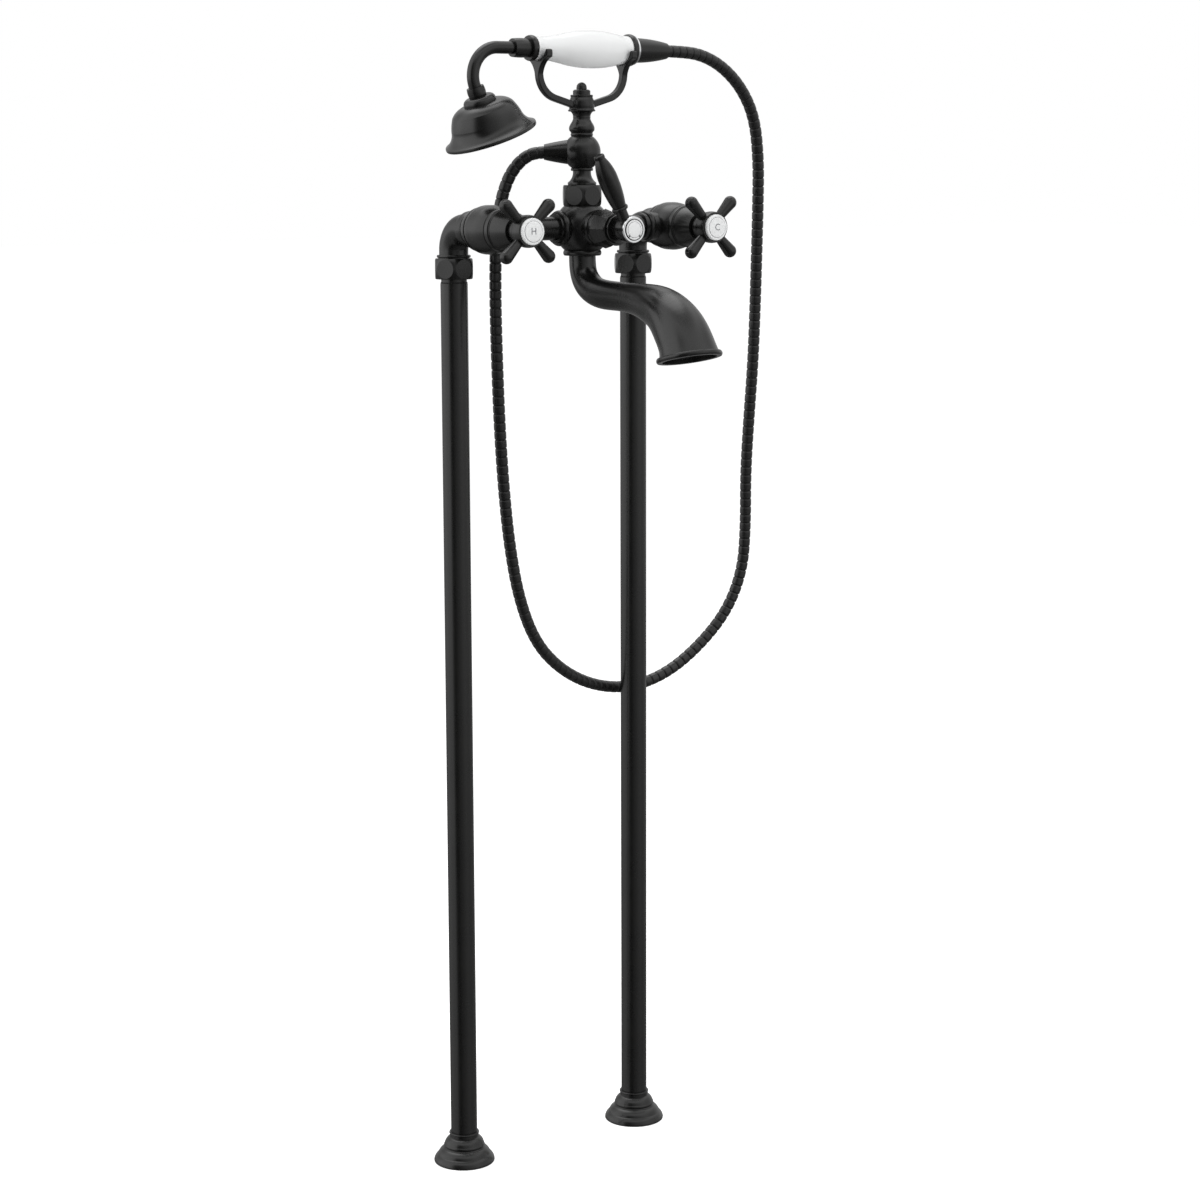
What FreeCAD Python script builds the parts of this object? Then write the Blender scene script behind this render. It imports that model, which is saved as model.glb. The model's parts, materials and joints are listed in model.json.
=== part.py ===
import FreeCAD, Part
import math
import os
from types import SimpleNamespace

import Sketcher
from FreeCAD import Placement, Rotation, Vector

# A floor-standing tub filler: two risers carry two valves, a bar between them feeds a mixer
# body, and a spout, a diverter and a shower column with a handset stand on that body.
# The origin lies on the floor midway between the risers. +X runs from hot to cold, the front
# faces -Y and +Z is up.

doc = FreeCAD.newDocument("tub_filler")

# Driving dimensions in millimetres, and in degrees where the name ends in angle.
sizes = {
    # Layout
    "riser_spacing": 203.2,
    "riser_height": 848.8,
    "valve_rise": 50.2,
    "bar_setback": 61.2,
    # Clearances: screwed or pressed fits, turning fits, and pieces that rest or pass
    "fit_gap": 0.05,
    "turning_gap": 0.06,
    "seat_gap": 0.3,
    "overrun": 2.0,
    # Floor flange
    "flange_radius": 29.4,
    "flange_edge": 1.6,
    "flange_step_radius": 25.6,
    "flange_step_height": 8.0,
    "flange_waist_radius": 20.0,
    "flange_waist_height": 14.4,
    "flange_groove": 0.9,
    "flange_bead_height": 3.2,
    "flange_neck_radius": 14.0,
    "flange_dome_height": 25.2,
    "flange_height": 30.2,
    # Riser tube
    "riser_radius": 12.7,
    "riser_bore": 10.7,
    "socket_bore": 11.3,
    "socket_depth": 40.0,
    # Tail piece on the riser, and the washer on it
    "tail_bore": 8.5,
    "tail_depth": 15.0,
    "neck_radius": 11.95,
    "neck_height": 4.1,
    "tail_collar_radius": 14.2,
    "tail_collar_height": 3.0,
    "washer_height": 2.5,
    # Hexagon nuts on the risers and under the column
    "nut_flats": 34.5,
    "nut_height": 18.8,
    "nut_end_radius": 16.9,
    "nut_middle_radius": 19.2,
    "nut_lip": 4.0,
    "nut_cavity": 14.5,
    # Elbow from riser to valve
    "elbow_radius": 13.5,
    "elbow_bore": 9.0,
    "elbow_bend": 20.0,
    "elbow_ring_radius": 15.2,
    "elbow_ring_height": 2.4,
    "elbow_ring_gap": 0.8,
    "elbow_spigot": 11.5,
    "elbow_spigot_length": 8.0,
    # Valve body
    "valve_back": 33.0,
    "valve_front": 26.4,
    "valve_ring_radius": 16.2,
    "valve_ring_width": 8.6,
    "valve_waist_radius": 15.7,
    "valve_groove_radius": 20.5,
    "valve_groove_place": 11.2,
    "valve_groove": 0.7,
    "valve_bulb_radius": 22.1,
    "valve_mouth_radius": 18.3,
    "valve_bead_radius": 19.2,
    "valve_bead_width": 6.4,
    "valve_cavity": 15.4,
    "valve_cavity_back": 11.2,
    "inlet_start": 16.8,
    "inlet_radius": 12.8,
    "inlet_bead_radius": 13.8,
    "inlet_bead_width": 5.2,
    "inlet_lip_width": 4.4,
    "inlet_length": 36.4,
    # Discs, spindle and bonnet of a valve
    "disc_radius": 13.0,
    "disc_height": 4.0,
    "disc_gap": 0.1,
    "disc_port": 3.2,
    "disc_port_place": 7.0,
    "spindle_radius": 5.0,
    "spindle_flange_radius": 12.0,
    "spindle_flange_height": 4.0,
    "spindle_grip": 13.0,
    "bonnet_radius": 18.7,
    "bonnet_nose_radius": 12.2,
    "bonnet_length": 18.4,
    # Cross handle with its screw and button
    "handle_gap": 0.8,
    "sleeve_radius": 9.8,
    "sleeve_length": 11.2,
    "hub_radius": 13.8,
    "hub_length": 12.5,
    "arm_place": 5.4,
    "arm_root_radius": 4.2,
    "arm_tip_radius": 6.1,
    "arm_sink": 1.4,
    "arm_reach": 37.6,
    "button_radius": 11.9,
    "button_height": 5.8,
    "button_edge": 1.4,
    "button_recess": 3.0,
    "screw_radius": 2.5,
    "screw_length": 11.0,
    "screw_head_radius": 3.8,
    "screw_head_height": 3.0,
    # Bar tubes
    "bar_radius": 10.7,
    "bar_bore": 8.0,
    "bar_socket": 12.0,
    # Mixer body
    "body_radius": 26.0,
    "body_half_height": 20.2,
    "body_end_radius": 16.6,
    "body_bore": 8.0,
    "boss_length": 31.0,
    "boss_radius": 15.2,
    "boss_lip_radius": 13.6,
    "boss_lip_width": 2.6,
    "boss_bead_width": 5.6,
    "port_length": 37.5,
    "port_radius": 16.7,
    "port_neck_radius": 15.9,
    "port_bead_width": 5.7,
    "port_groove": 0.9,
    "spigot_radius": 13.0,
    "spigot_height": 11.0,
    "diverter_bore": 12.0,
    "diverter_floor": 8.5,
    # Spout and its collar
    "spout_reach": 164.5,
    "spout_drop": 82.1,
    "spout_throat": 12.3,
    "spout_mouth": 26.6,
    "spout_wall": 2.2,
    "spout_lip": 4.4,
    "spout_lip_radius": 28.6,
    "spout_spigot": 11.0,
    "spout_spigot_depth": 7.5,
    "collar_radius": 16.7,
    "collar_height": 5.0,
    # Shower column
    "column_bore": 5.0,
    "column_collar_height": 3.2,
    "column_tube": 9.0,
    "column_foot_radius": 13.2,
    "column_foot_gap": 0.6,
    "column_foot_height": 1.7,
    "column_waist_radius": 8.4,
    "column_waist_height": 10.6,
    "column_ring_radius": 9.8,
    "column_ring_height": 2.7,
    "ball_radius": 17.25,
    "ball_half_height": 14.4,
    "ball_neck_radius": 9.5,
    "column_flare_radius": 11.6,
    "column_flare_height": 3.0,
    "column_neck_radius": 8.1,
    "column_neck_height": 11.0,
    "column_head_radius": 10.4,
    "column_head_height": 5.4,
    "peg_radius": 5.0,
    "peg_length": 17.6,
    # Hose outlet on the ball
    "outlet_angle": 145.0,
    "outlet_seat": 13.4,
    "outlet_spot_radius": 11.2,
    "outlet_bore": 4.0,
    "outlet_radius": 11.0,
    "outlet_end_radius": 7.0,
    "outlet_length": 21.4,
    # Cradle and finial
    "cradle_hub_radius": 12.4,
    "cradle_hub_waist": 9.6,
    "cradle_hub_shoulder": 11.2,
    "cradle_hub_rim": 10.2,
    "cradle_hub_height": 15.2,
    "cradle_rim_height": 1.8,
    "cradle_reach": 46.7,
    "cradle_arm_root": 8.2,
    "cradle_arm_slope_angle": 16.0,
    "cradle_arm_bend": 23.0,
    "cradle_arm_thickness": 6.0,
    "cradle_arm_width": 6.4,
    "fork_thickness": 6.0,
    "fork_half_width": 18.4,
    "fork_drop": 22.8,
    "fork_shoulder": 14.8,
    "fork_tip_drop": 2.6,
    "fork_tine": 4.3,
    "fork_root": 0.8,
    "finial_radius": 8.0,
    "finial_disc_height": 4.6,
    "finial_edge": 3.2,
    "finial_shoulder_radius": 6.2,
    "finial_dome_radius": 4.7,
    "finial_height": 11.2,
    "finial_blind": 3.4,
    # Diverter with its lever
    "diverter_bonnet_radius": 18.0,
    "diverter_bonnet_middle": 16.2,
    "diverter_bonnet_nose": 12.0,
    "diverter_bonnet_length": 16.0,
    "gland_radius": 14.5,
    "gland_width": 3.0,
    "gland_step_radius": 12.6,
    "gland_step_width": 2.8,
    "gland_neck_radius": 8.6,
    "gland_neck_length": 7.4,
    "spool_port": 6.0,
    "lever_hub_radius": 11.0,
    "lever_hub_length": 12.6,
    "lever_lean_angle": 26.4,
    "lever_socket": 6.6,
    "lever_neck_radius": 5.2,
    "lever_ring_place": 19.5,
    "lever_ring_radius": 6.9,
    "lever_ring_height": 3.0,
    "lever_foot_radius": 6.1,
    "lever_belly_radius": 9.0,
    "lever_belly_place": 49.0,
    "lever_top_radius": 4.4,
    "lever_top_place": 70.2,
    "lever_tip_radius": 5.0,
    "lever_tip_height": 3.4,
    "lever_tip_edge": 1.5,
    "ring_radius": 11.4,
    "ring_height": 2.6,
    "ring_wall": 2.0,
    "diverter_button_height": 3.0,
    # Handset
    "handset_rise": 161.5,
    "grip_head": 53.0,
    "grip_tail": 50.0,
    "grip_neck_radius": 10.4,
    "grip_neck_length": 12.0,
    "grip_swell_radius": 13.5,
    "grip_swell_place": 31.0,
    "grip_belly_radius": 17.0,
    "grip_belly_place": 64.4,
    "grip_end_radius": 13.0,
    "grip_end_length": 6.6,
    "grip_tube_radius": 4.6,
    "grip_tube_bore": 3.4,
    "head_collar_radius": 11.0,
    "head_collar_width": 5.4,
    "tail_collar_rim": 14.0,
    "tail_collar_width": 5.4,
    "ferrule_radius": 8.2,
    "ferrule_length": 17.1,
    "neck_tube_radius": 5.6,
    "neck_tube_bore": 4.2,
    "neck_bend": 25.5,
    "neck_bend_angle": 111.0,
    "neck_run": 33.4,
    "neck_tail": 8.0,
    "neck_nut_radius": 7.8,
    "neck_nut_start": 0.6,
    "bell_start": 9.3,
    "bell_crown_radius": 9.6,
    "bell_shoulder_radius": 15.0,
    "bell_shoulder_height": 4.6,
    "bell_shoulder_width": 6.2,
    "bell_dome_radius": 28.4,
    "bell_dome_height": 12.4,
    "bell_wall_radius": 32.8,
    "bell_wall_height": 23.4,
    "bell_rim_radius": 42.2,
    "bell_rim_height": 35.6,
    "bell_rim_width": 3.0,
    "bell_thickness": 2.4,
    "plate_radius": 38.4,
    "plate_thickness": 2.4,
    "plate_crown": 1.6,
    "plate_face_radius": 33.0,
    "hose_nut_radius": 11.2,
    "hose_nut_end_radius": 7.3,
    "hose_nut_length": 39.8,
    # Ribbed hose
    "hose_radius": 5.7,
    "hose_groove": 0.7,
    "hose_bore": 4.2,
    "hose_cuff": 11.4,
}

# Bulges of arcs as shares of their chord: positive is outward on a piece turned from its foot
trace_share = 0.012
flat_share = 0.03
slight_share = 0.06
soft_share = 0.12
quarter_share = (math.sqrt(2) - 1) / 2
round_share = 0.4
hollow_share = -0.14
half_share = 0.5
hexagon_share = 1 / math.sqrt(3)

# Sections of the spout: forward as a share of its reach, down as a share of its drop,
# the slant of the run from straight down in degrees, and the radius between throat and mouth
spout_shares = (
    (0.000, 0.000, 0.0, 0.000),
    (0.008, 0.163, 15.0, 0.010),
    (0.042, 0.285, 45.0, 0.040),
    (0.095, 0.362, 65.0, 0.060),
    (0.163, 0.406, 80.0, 0.075),
    (0.317, 0.429, 87.0, 0.070),
    (0.533, 0.449, 85.0, 0.160),
    (0.650, 0.479, 78.0, 0.345),
    (0.771, 0.543, 66.0, 0.545),
    (0.859, 0.640, 50.0, 0.705),
    (0.935, 0.783, 34.0, 0.830),
    (1.000, 1.000, 13.5, 1.000),
)

# The hose hangs from the outlet nut in a loop behind the cold riser and up to the handset
hose_route = (
    (-19.17, -47.78, 968.0),
    (-34.0, -37.4, 968.0),
    (-42.6, -31.4, 963.6),
    (-50.0, -26.2, 955.2),
    (-56.4, -21.8, 942.5),
    (-62.0, -18.0, 921.0),
    (-65.6, -15.6, 886.0),
    (-65.0, -13.0, 836.0),
    (-61.5, -9.5, 778.0),
    (-56.5, -5.0, 718.0),
    (-49.5, 0.0, 658.0),
    (-40.5, 4.5, 600.0),
    (-27.5, 8.5, 546.0),
    (-6.0, 13.0, 500.0),
    (28.0, 18.5, 468.0),
    (71.0, 24.0, 446.5),
    (118.0, 26.5, 439.0),
    (162.0, 25.5, 449.0),
    (202.0, 23.5, 474.0),
    (234.5, 20.5, 507.0),
    (251.0, 17.0, 548.0),
    (250.5, 12.0, 595.0),
    (245.5, 6.0, 650.0),
    (243.5, -1.5, 706.0),
    (242.3, -9.0, 762.0),
    (239.0, -16.0, 816.0),
    (235.0, -23.0, 868.0),
    (231.5, -29.0, 916.0),
    (227.5, -34.5, 960.0),
    (217.5, -40.5, 1000.0),
    (198.0, -45.5, 1027.5),
    (171.0, -51.5, 1047.0),
    (141.0, -57.5, 1058.0),
    (112.0, -61.2, 1060.5),
    (83.8, -61.2, 1060.5),
)
rib_count = 174
rib_shares = (0.0, 0.22, 0.62, 0.84)
reach_share = 0.45


class Measure:
    # A length: its value now, and the formula over the sheet that keeps it there

    def __init__(self, value, formula):
        self.value = value
        self.formula = formula

    def __add__(self, other):
        return Measure(self.value + other.value, f"({self.formula} + {other.formula})")

    def __sub__(self, other):
        return Measure(self.value - other.value, f"({self.formula} - {other.formula})")

    def __mul__(self, share):
        return Measure(self.value * share, f"({self.formula} * {share:.9g})")

    def __neg__(self):
        return self * -1


sheet = doc.addObject("Spreadsheet::Sheet", "sizes")
for row, (name, value) in enumerate(sizes.items(), start=1):
    sheet.set(f"A{row}", name)
    sheet.set(f"B{row}", str(value))
    sheet.setAlias(f"B{row}", name)
doc.recompute()
s = SimpleNamespace(**{name: Measure(float(sheet.get(name)), f"sizes.{name}") for name in sizes})
zero = Measure(0.0, "0")

up = Rotation()
forward = Rotation(Vector(1, 0, 0), 90)
right = Rotation(Vector(0, 1, 0), 90)
left = Rotation(Vector(0, 1, 0), -90)
pieces = []


# Shared ways of making a piece

def place(thing, spot, turn=up):
    # Stand a piece at a spot that the sheet drives
    thing.Placement = Placement(Vector(*[measure.value for measure in spot]), turn)
    for axis, measure in zip("xyz", spot):
        thing.setExpression(f"Placement.Base.{axis}", measure.formula)
    return thing


def keep(piece):
    # Count a finished piece as one of the assembly
    pieces.append(piece)
    return piece


def bulge(start, end, share):
    # The point that an arc from start to end passes, to the right of its chord
    across = (start[0] + end[0]) * half_share + (end[1] - start[1]) * share
    along = (start[1] + end[1]) * half_share - (end[0] - start[0]) * share
    return across, along


def draw(sketch, outline):
    # A closed outline of corners (across, along). A third value makes the way there an arc
    # with that bulge, and two more values an arc through that point.
    rules = []
    formulas = {}

    def pin(geometry, vertex, spot):
        for line, kind, measure in ((-2, "DistanceX", spot[0]), (-1, "DistanceY", spot[1])):
            if measure is zero:
                rules.append(Sketcher.Constraint("PointOnObject", geometry, vertex, line))
                continue
            formulas[len(rules)] = measure.formula
            rules.append(Sketcher.Constraint(kind, -1, 1, geometry, vertex, measure.value))

    ends = []
    for index, corner in enumerate(outline):
        start = outline[index - 1]
        points = [Vector(spot[0].value, spot[1].value, 0) for spot in (start, corner)]
        if len(corner) == 2:
            edge = sketch.addGeometry(Part.LineSegment(*points))
            ends.append((edge, 1, 2))
        else:
            via = corner[2:] if len(corner) == 4 else bulge(start, corner, corner[2])
            middle = Vector(via[0].value, via[1].value, 0)
            edge = sketch.addGeometry(Part.ArcOfCircle(points[0], middle, points[1]))
            swapped = sketch.getPoint(edge, 1).distanceToPoint(points[0]) > \
                sketch.getPoint(edge, 2).distanceToPoint(points[0])
            ends.append((edge, 2, 1) if swapped else (edge, 1, 2))
            mark = sketch.addGeometry(Part.Point(middle), True)
            rules.append(Sketcher.Constraint("PointOnObject", mark, 1, edge))
            pin(mark, 1, via)
        pin(edge, ends[-1][2], corner)
    for before, after in zip(ends, ends[1:] + ends[:1]):
        rules.append(Sketcher.Constraint("Coincident", before[0], before[2], after[0], after[1]))
    sketch.addConstraint(rules)
    for number, formula in formulas.items():
        sketch.setExpression(f"Constraints[{number}]", formula)


def body_on(label, plane, outline):
    # A body with an outline on one of its own planes
    body = doc.addObject("PartDesign::Body", label)
    sketch = body.newObject("Sketcher::SketchObject", f"{label}_outline")
    support = [feature for feature in body.Origin.OriginFeatures if feature.Role == plane]
    sketch.AttachmentSupport = [(support[0], "")]
    sketch.MapMode = "FlatFace"
    draw(sketch, outline)
    return body, sketch


def turned(label, outline, spot, turn=up, angle=360.0):
    # A piece turned about its own upright axis from an outline of (radius, height)
    body, sketch = body_on(label, "XZ_Plane", outline)
    lathe = body.newObject("PartDesign::Revolution", f"{label}_turned")
    lathe.Profile = sketch
    lathe.ReferenceAxis = (sketch, ["V_Axis"])
    lathe.Angle = angle
    body.Tip = lathe
    return place(body, spot, turn)


def slab(label, outline, thickness, spot, turn):
    # A flat piece with an outline and a thickness
    body, sketch = body_on(label, "XY_Plane", outline)
    pad = body.newObject("PartDesign::Pad", f"{label}_slab")
    pad.Profile = sketch
    pad.setExpression("Length", thickness.formula)
    body.Tip = pad
    return place(body, spot, turn)


def primitive(kind, label, spot, turn=up, **measures):
    # A plain solid or circle whose sizes the sheet drives
    thing = doc.addObject(kind, label)
    for name, measure in measures.items():
        thing.setExpression(name, measure.formula)
    return place(thing, spot, turn)


def rod(label, radius, length, spot, turn=up):
    return primitive("Part::Cylinder", label, spot, turn, Radius=radius, Height=length)


def joined(label, *parts):
    whole = doc.addObject("Part::MultiFuse", label)
    whole.Shapes = list(parts)
    return whole


def without(label, base, *tools):
    rest = doc.addObject("Part::Cut", label)
    rest.Base = base
    rest.Tool = tools[0] if len(tools) == 1 else joined(f"{label}_room", *tools)
    return rest


def hexagon_nut(label, spot, outline):
    # A hexagon bar cut to a turned shape, with two flats square to Y
    bar = primitive("Part::Prism", f"{label}_bar", spot,
                    Circumradius=s.nut_flats * hexagon_share, Height=s.nut_height)
    bar.Polygon = 6
    shape = turned(f"{label}_shape", outline, spot)
    nut = doc.addObject("Part::MultiCommon", label)
    nut.Shapes = [bar, shape]
    return nut


def nut_outside():
    # The outer half of a nut's outline: a barrel that rounds the corners off
    middle = s.nut_height * half_share
    return [(s.nut_end_radius, zero), (s.nut_end_radius, s.nut_height, s.nut_middle_radius, middle)]


# Heights and stations that several pieces share

valve_height = s.riser_height + s.valve_rise
bar_line = -s.bar_setback
nut_foot = s.riser_height + s.neck_height
washer_foot = nut_foot + s.nut_lip + s.tail_collar_height
elbow_foot = washer_foot + s.washer_height
elbow_bend_height = valve_height - s.elbow_bend
valve_rear = s.bar_setback - s.valve_back
valve_face = s.bar_setback + s.valve_front
cavity_floor = s.bar_setback - s.valve_cavity_back
turning_floor = cavity_floor + s.disc_height + s.disc_gap
spindle_foot = turning_floor + s.disc_height
bonnet_foot = spindle_foot + s.spindle_flange_height + s.seat_gap
bonnet_nose = valve_face + s.bonnet_length
sleeve_foot = bonnet_nose + s.handle_gap
hub_foot = sleeve_foot + s.sleeve_length
hub_face = hub_foot + s.hub_length
button_seat = hub_face - s.button_recess
screw_seat = button_seat - s.screw_head_height
spindle_end = sleeve_foot + s.spindle_grip
body_top = valve_height + s.body_half_height
body_foot = valve_height - s.body_half_height
spout_top = body_foot - s.collar_height
column_foot = body_top + s.nut_height - s.nut_lip - s.column_collar_height
ball_foot = (s.column_collar_height + s.nut_lip + s.column_foot_gap + s.column_foot_height
             + s.column_waist_height + s.column_ring_height)
ball_height = column_foot + ball_foot + s.ball_half_height
ball_top = ball_foot + s.ball_half_height * 2
head_top = (ball_top + s.column_ring_height + s.column_flare_height + s.column_neck_height
            + s.column_head_height)
cradle_foot = column_foot + head_top
handset_height = valve_height + s.handset_rise
column_spot = (zero, bar_line, valve_height)


# Risers, and what stands on them

def floor_flange(side, x):
    bore = s.riser_radius + s.fit_gap
    bead_foot = s.flange_waist_height + s.flange_groove
    bead_radius = s.flange_waist_radius - s.flange_groove
    return turned(f"{side}_floor_flange", [
        (bore, zero),
        (s.flange_radius - s.flange_edge, zero),
        (s.flange_radius, s.flange_edge, quarter_share),
        (s.flange_step_radius, s.flange_step_height, soft_share),
        (s.flange_waist_radius, s.flange_waist_height, soft_share),
        (bead_radius, bead_foot),
        (bead_radius, bead_foot + s.flange_bead_height, quarter_share),
        (s.flange_neck_radius, s.flange_dome_height, soft_share),
        (s.flange_neck_radius, s.flange_height),
        (bore, s.flange_height),
    ], (x, zero, zero))


def riser_tube(side, x):
    return turned(f"{side}_riser_tube", [
        (s.socket_bore, zero),
        (s.riser_radius, zero),
        (s.riser_radius, s.riser_height),
        (s.riser_bore, s.riser_height),
        (s.riser_bore, s.socket_depth),
        (s.socket_bore, s.socket_depth),
    ], (x, zero, zero))


def tail_piece(side, x):
    spigot = s.riser_bore - s.fit_gap
    collar = s.tail_depth + s.neck_height + s.nut_lip
    return turned(f"{side}_tail_piece", [
        (s.tail_bore, zero),
        (spigot, zero),
        (spigot, s.tail_depth),
        (s.neck_radius, s.tail_depth),
        (s.neck_radius, collar),
        (s.tail_collar_radius, collar),
        (s.tail_collar_radius, collar + s.tail_collar_height),
        (s.tail_bore, collar + s.tail_collar_height),
    ], (x, zero, s.riser_height - s.tail_depth))


def seal_washer(side, x):
    return turned(f"{side}_seal_washer", [
        (s.tail_bore, zero),
        (s.tail_collar_radius, zero),
        (s.tail_collar_radius, s.washer_height),
        (s.tail_bore, s.washer_height),
    ], (x, zero, washer_foot))


def coupling_nut(side, x):
    bore = s.neck_radius + s.fit_gap
    return hexagon_nut(f"{side}_coupling_nut", (x, zero, nut_foot), [
        (bore, zero),
        *nut_outside(),
        (s.nut_cavity, s.nut_height),
        (s.nut_cavity, s.nut_lip),
        (bore, s.nut_lip),
    ])


def elbow(side, x):
    name = f"{side}_elbow"
    spigot = s.nut_cavity - s.fit_gap
    ring = nut_foot + s.nut_height + s.elbow_ring_gap - elbow_foot
    straight = elbow_bend_height - elbow_foot
    run = valve_rear - s.elbow_bend
    foot_spot = (x, zero, elbow_foot)
    front_spot = (x, -s.elbow_bend, valve_height)
    bend_spot = (x, -s.elbow_bend, elbow_bend_height)
    bend_turn = Rotation(Vector(1, 1, 1), 120)

    def bend(label, radius):
        ring_solid = primitive("Part::Torus", label, bend_spot, bend_turn,
                               Radius1=s.elbow_bend, Radius2=radius)
        ring_solid.Angle3 = 90
        return ring_solid

    foot = turned(f"{name}_foot", [
        (zero, zero),
        (spigot, zero),
        (spigot, ring),
        (s.elbow_ring_radius, ring),
        (s.elbow_ring_radius, ring + s.elbow_ring_height, quarter_share),
        (s.elbow_radius, ring + s.elbow_ring_height),
        (s.elbow_radius, straight),
        (zero, straight),
    ], foot_spot)
    front = turned(f"{name}_front", [
        (zero, zero),
        (s.elbow_radius, zero),
        (s.elbow_radius, run),
        (s.elbow_spigot, run),
        (s.elbow_spigot, run + s.elbow_spigot_length),
        (zero, run + s.elbow_spigot_length),
    ], front_spot, forward)
    blank = joined(f"{name}_blank", foot, bend(f"{name}_bend", s.elbow_radius), front)
    return without(name, blank,
                   rod(f"{name}_foot_bore", s.elbow_bore, straight, foot_spot),
                   bend(f"{name}_bend_bore", s.elbow_bore),
                   rod(f"{name}_front_bore", s.elbow_bore, run + s.elbow_spigot_length, front_spot,
                       forward))


# Valves

def valve_body(side, x, inward):
    socket = s.elbow_spigot + s.fit_gap
    waist = valve_rear + s.valve_ring_width
    groove = s.bar_setback - s.valve_groove_place
    bead_foot = valve_face - s.valve_bead_width
    spigot_end = valve_rear + s.elbow_spigot_length
    blank = turned(f"{side}_valve_blank", [
        (socket, valve_rear),
        (s.valve_ring_radius, valve_rear),
        (s.valve_ring_radius, waist, slight_share),
        (s.valve_waist_radius, waist),
        (s.valve_groove_radius, groove - s.valve_groove, slight_share),
        (s.valve_groove_radius - s.valve_groove, groove),
        (s.valve_groove_radius, groove + s.valve_groove),
        (s.valve_bulb_radius, s.bar_setback, slight_share),
        (s.valve_bead_radius, bead_foot - s.valve_groove, slight_share),
        (s.valve_mouth_radius, bead_foot),
        (s.valve_bead_radius, bead_foot + s.valve_groove),
        (s.valve_bead_radius, valve_face - s.valve_groove, slight_share),
        (s.valve_mouth_radius, valve_face),
        (s.valve_cavity, valve_face),
        (s.valve_cavity, cavity_floor),
        (s.elbow_bore, cavity_floor),
        (s.elbow_bore, spigot_end),
        (socket, spigot_end),
    ], (x, zero, valve_height), forward)
    bar_spot = (x, bar_line, valve_height)
    bar_room = s.bar_radius + s.fit_gap
    lip = s.inlet_length - s.inlet_lip_width
    bead = lip - s.inlet_bead_width
    inlet = turned(f"{side}_valve_inlet", [
        (bar_room, s.inlet_start),
        (s.inlet_radius, s.inlet_start),
        (s.inlet_radius, bead),
        (s.inlet_bead_radius, bead),
        (s.inlet_bead_radius, lip, quarter_share),
        (s.inlet_radius, lip),
        (s.inlet_radius, s.inlet_length),
        (bar_room, s.inlet_length),
    ], bar_spot, inward)
    return without(f"{side}_valve_body", joined(f"{side}_valve_casting", blank, inlet),
                   rod(f"{side}_bar_socket", bar_room, s.inlet_length, bar_spot, inward))


def ceramic_disc(side, name, x, station, level):
    label = f"{side}_{name}"
    blank = turned(f"{label}_blank", [
        (zero, zero),
        (s.disc_radius, zero),
        (s.disc_radius, s.disc_height),
        (zero, s.disc_height),
    ], (x, -station, valve_height), forward)
    ports = []
    for number, sign in enumerate((-1, 1)):
        offset = s.disc_port_place * sign
        spot = (x + offset, -station, valve_height) if level else (x, -station, valve_height + offset)
        ports.append(rod(f"{label}_port_{number}", s.disc_port, s.disc_height, spot, forward))
    return without(label, blank, *ports)


def spindle(side, x):
    thread = s.screw_radius + s.fit_gap
    hole = screw_seat - s.screw_length - s.overrun
    flange_top = spindle_foot + s.spindle_flange_height
    return turned(f"{side}_spindle", [
        (zero, spindle_foot),
        (s.spindle_flange_radius, spindle_foot),
        (s.spindle_flange_radius, flange_top),
        (s.spindle_radius, flange_top),
        (s.spindle_radius, spindle_end),
        (thread, spindle_end),
        (thread, hole),
        (zero, hole),
    ], (x, zero, valve_height), forward)


def bonnet(side, x):
    bore = s.spindle_radius + s.turning_gap
    plug = s.valve_cavity - s.fit_gap
    return turned(f"{side}_bonnet", [
        (bore, bonnet_foot),
        (plug, bonnet_foot),
        (plug, valve_face),
        (s.valve_mouth_radius, valve_face),
        (s.bonnet_radius, valve_face + s.valve_groove),
        (s.bonnet_nose_radius, bonnet_nose, flat_share),
        (bore, bonnet_nose),
    ], (x, zero, valve_height), forward)


def cross_handle(side, x):
    name = f"{side}_cross_handle"
    bore = s.spindle_radius + s.fit_gap
    recess = s.button_radius + s.fit_gap
    head = s.screw_head_radius + s.fit_gap
    thread = s.screw_radius + s.fit_gap
    hub = turned(f"{name}_hub", [
        (bore, sleeve_foot),
        (s.sleeve_radius, sleeve_foot),
        (s.sleeve_radius, hub_foot, slight_share),
        (s.hub_radius, hub_foot),
        (s.hub_radius, hub_face, slight_share),
        (recess, hub_face),
        (recess, button_seat),
        (head, button_seat),
        (head, screw_seat),
        (thread, screw_seat),
        (thread, spindle_end),
        (bore, spindle_end),
    ], (x, zero, valve_height), forward)
    root = s.hub_radius - s.arm_sink
    arms = []
    for number in range(4):
        arms.append(turned(f"{name}_arm_{number}", [
            (zero, root),
            (s.arm_root_radius, root),
            (s.arm_tip_radius, s.arm_reach - s.arm_tip_radius),
            (zero, s.arm_reach, quarter_share),
        ], (x, -(hub_foot + s.arm_place), valve_height), Rotation(Vector(0, 1, 0), 45 + 90 * number)))
    return joined(name, hub, *arms)


def handle_screw(side, x):
    return turned(f"{side}_handle_screw", [
        (zero, screw_seat - s.screw_length),
        (s.screw_radius, screw_seat - s.screw_length),
        (s.screw_radius, screw_seat),
        (s.screw_head_radius, screw_seat),
        (s.screw_head_radius, button_seat),
        (zero, button_seat),
    ], (x, zero, valve_height), forward)


def index_button(side, x):
    face = button_seat + s.button_height
    return turned(f"{side}_index_button", [
        (zero, button_seat),
        (s.button_radius, button_seat),
        (s.button_radius, face - s.button_edge),
        (s.button_radius - s.button_edge, face, quarter_share),
        (zero, face),
    ], (x, zero, valve_height), forward)


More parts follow.
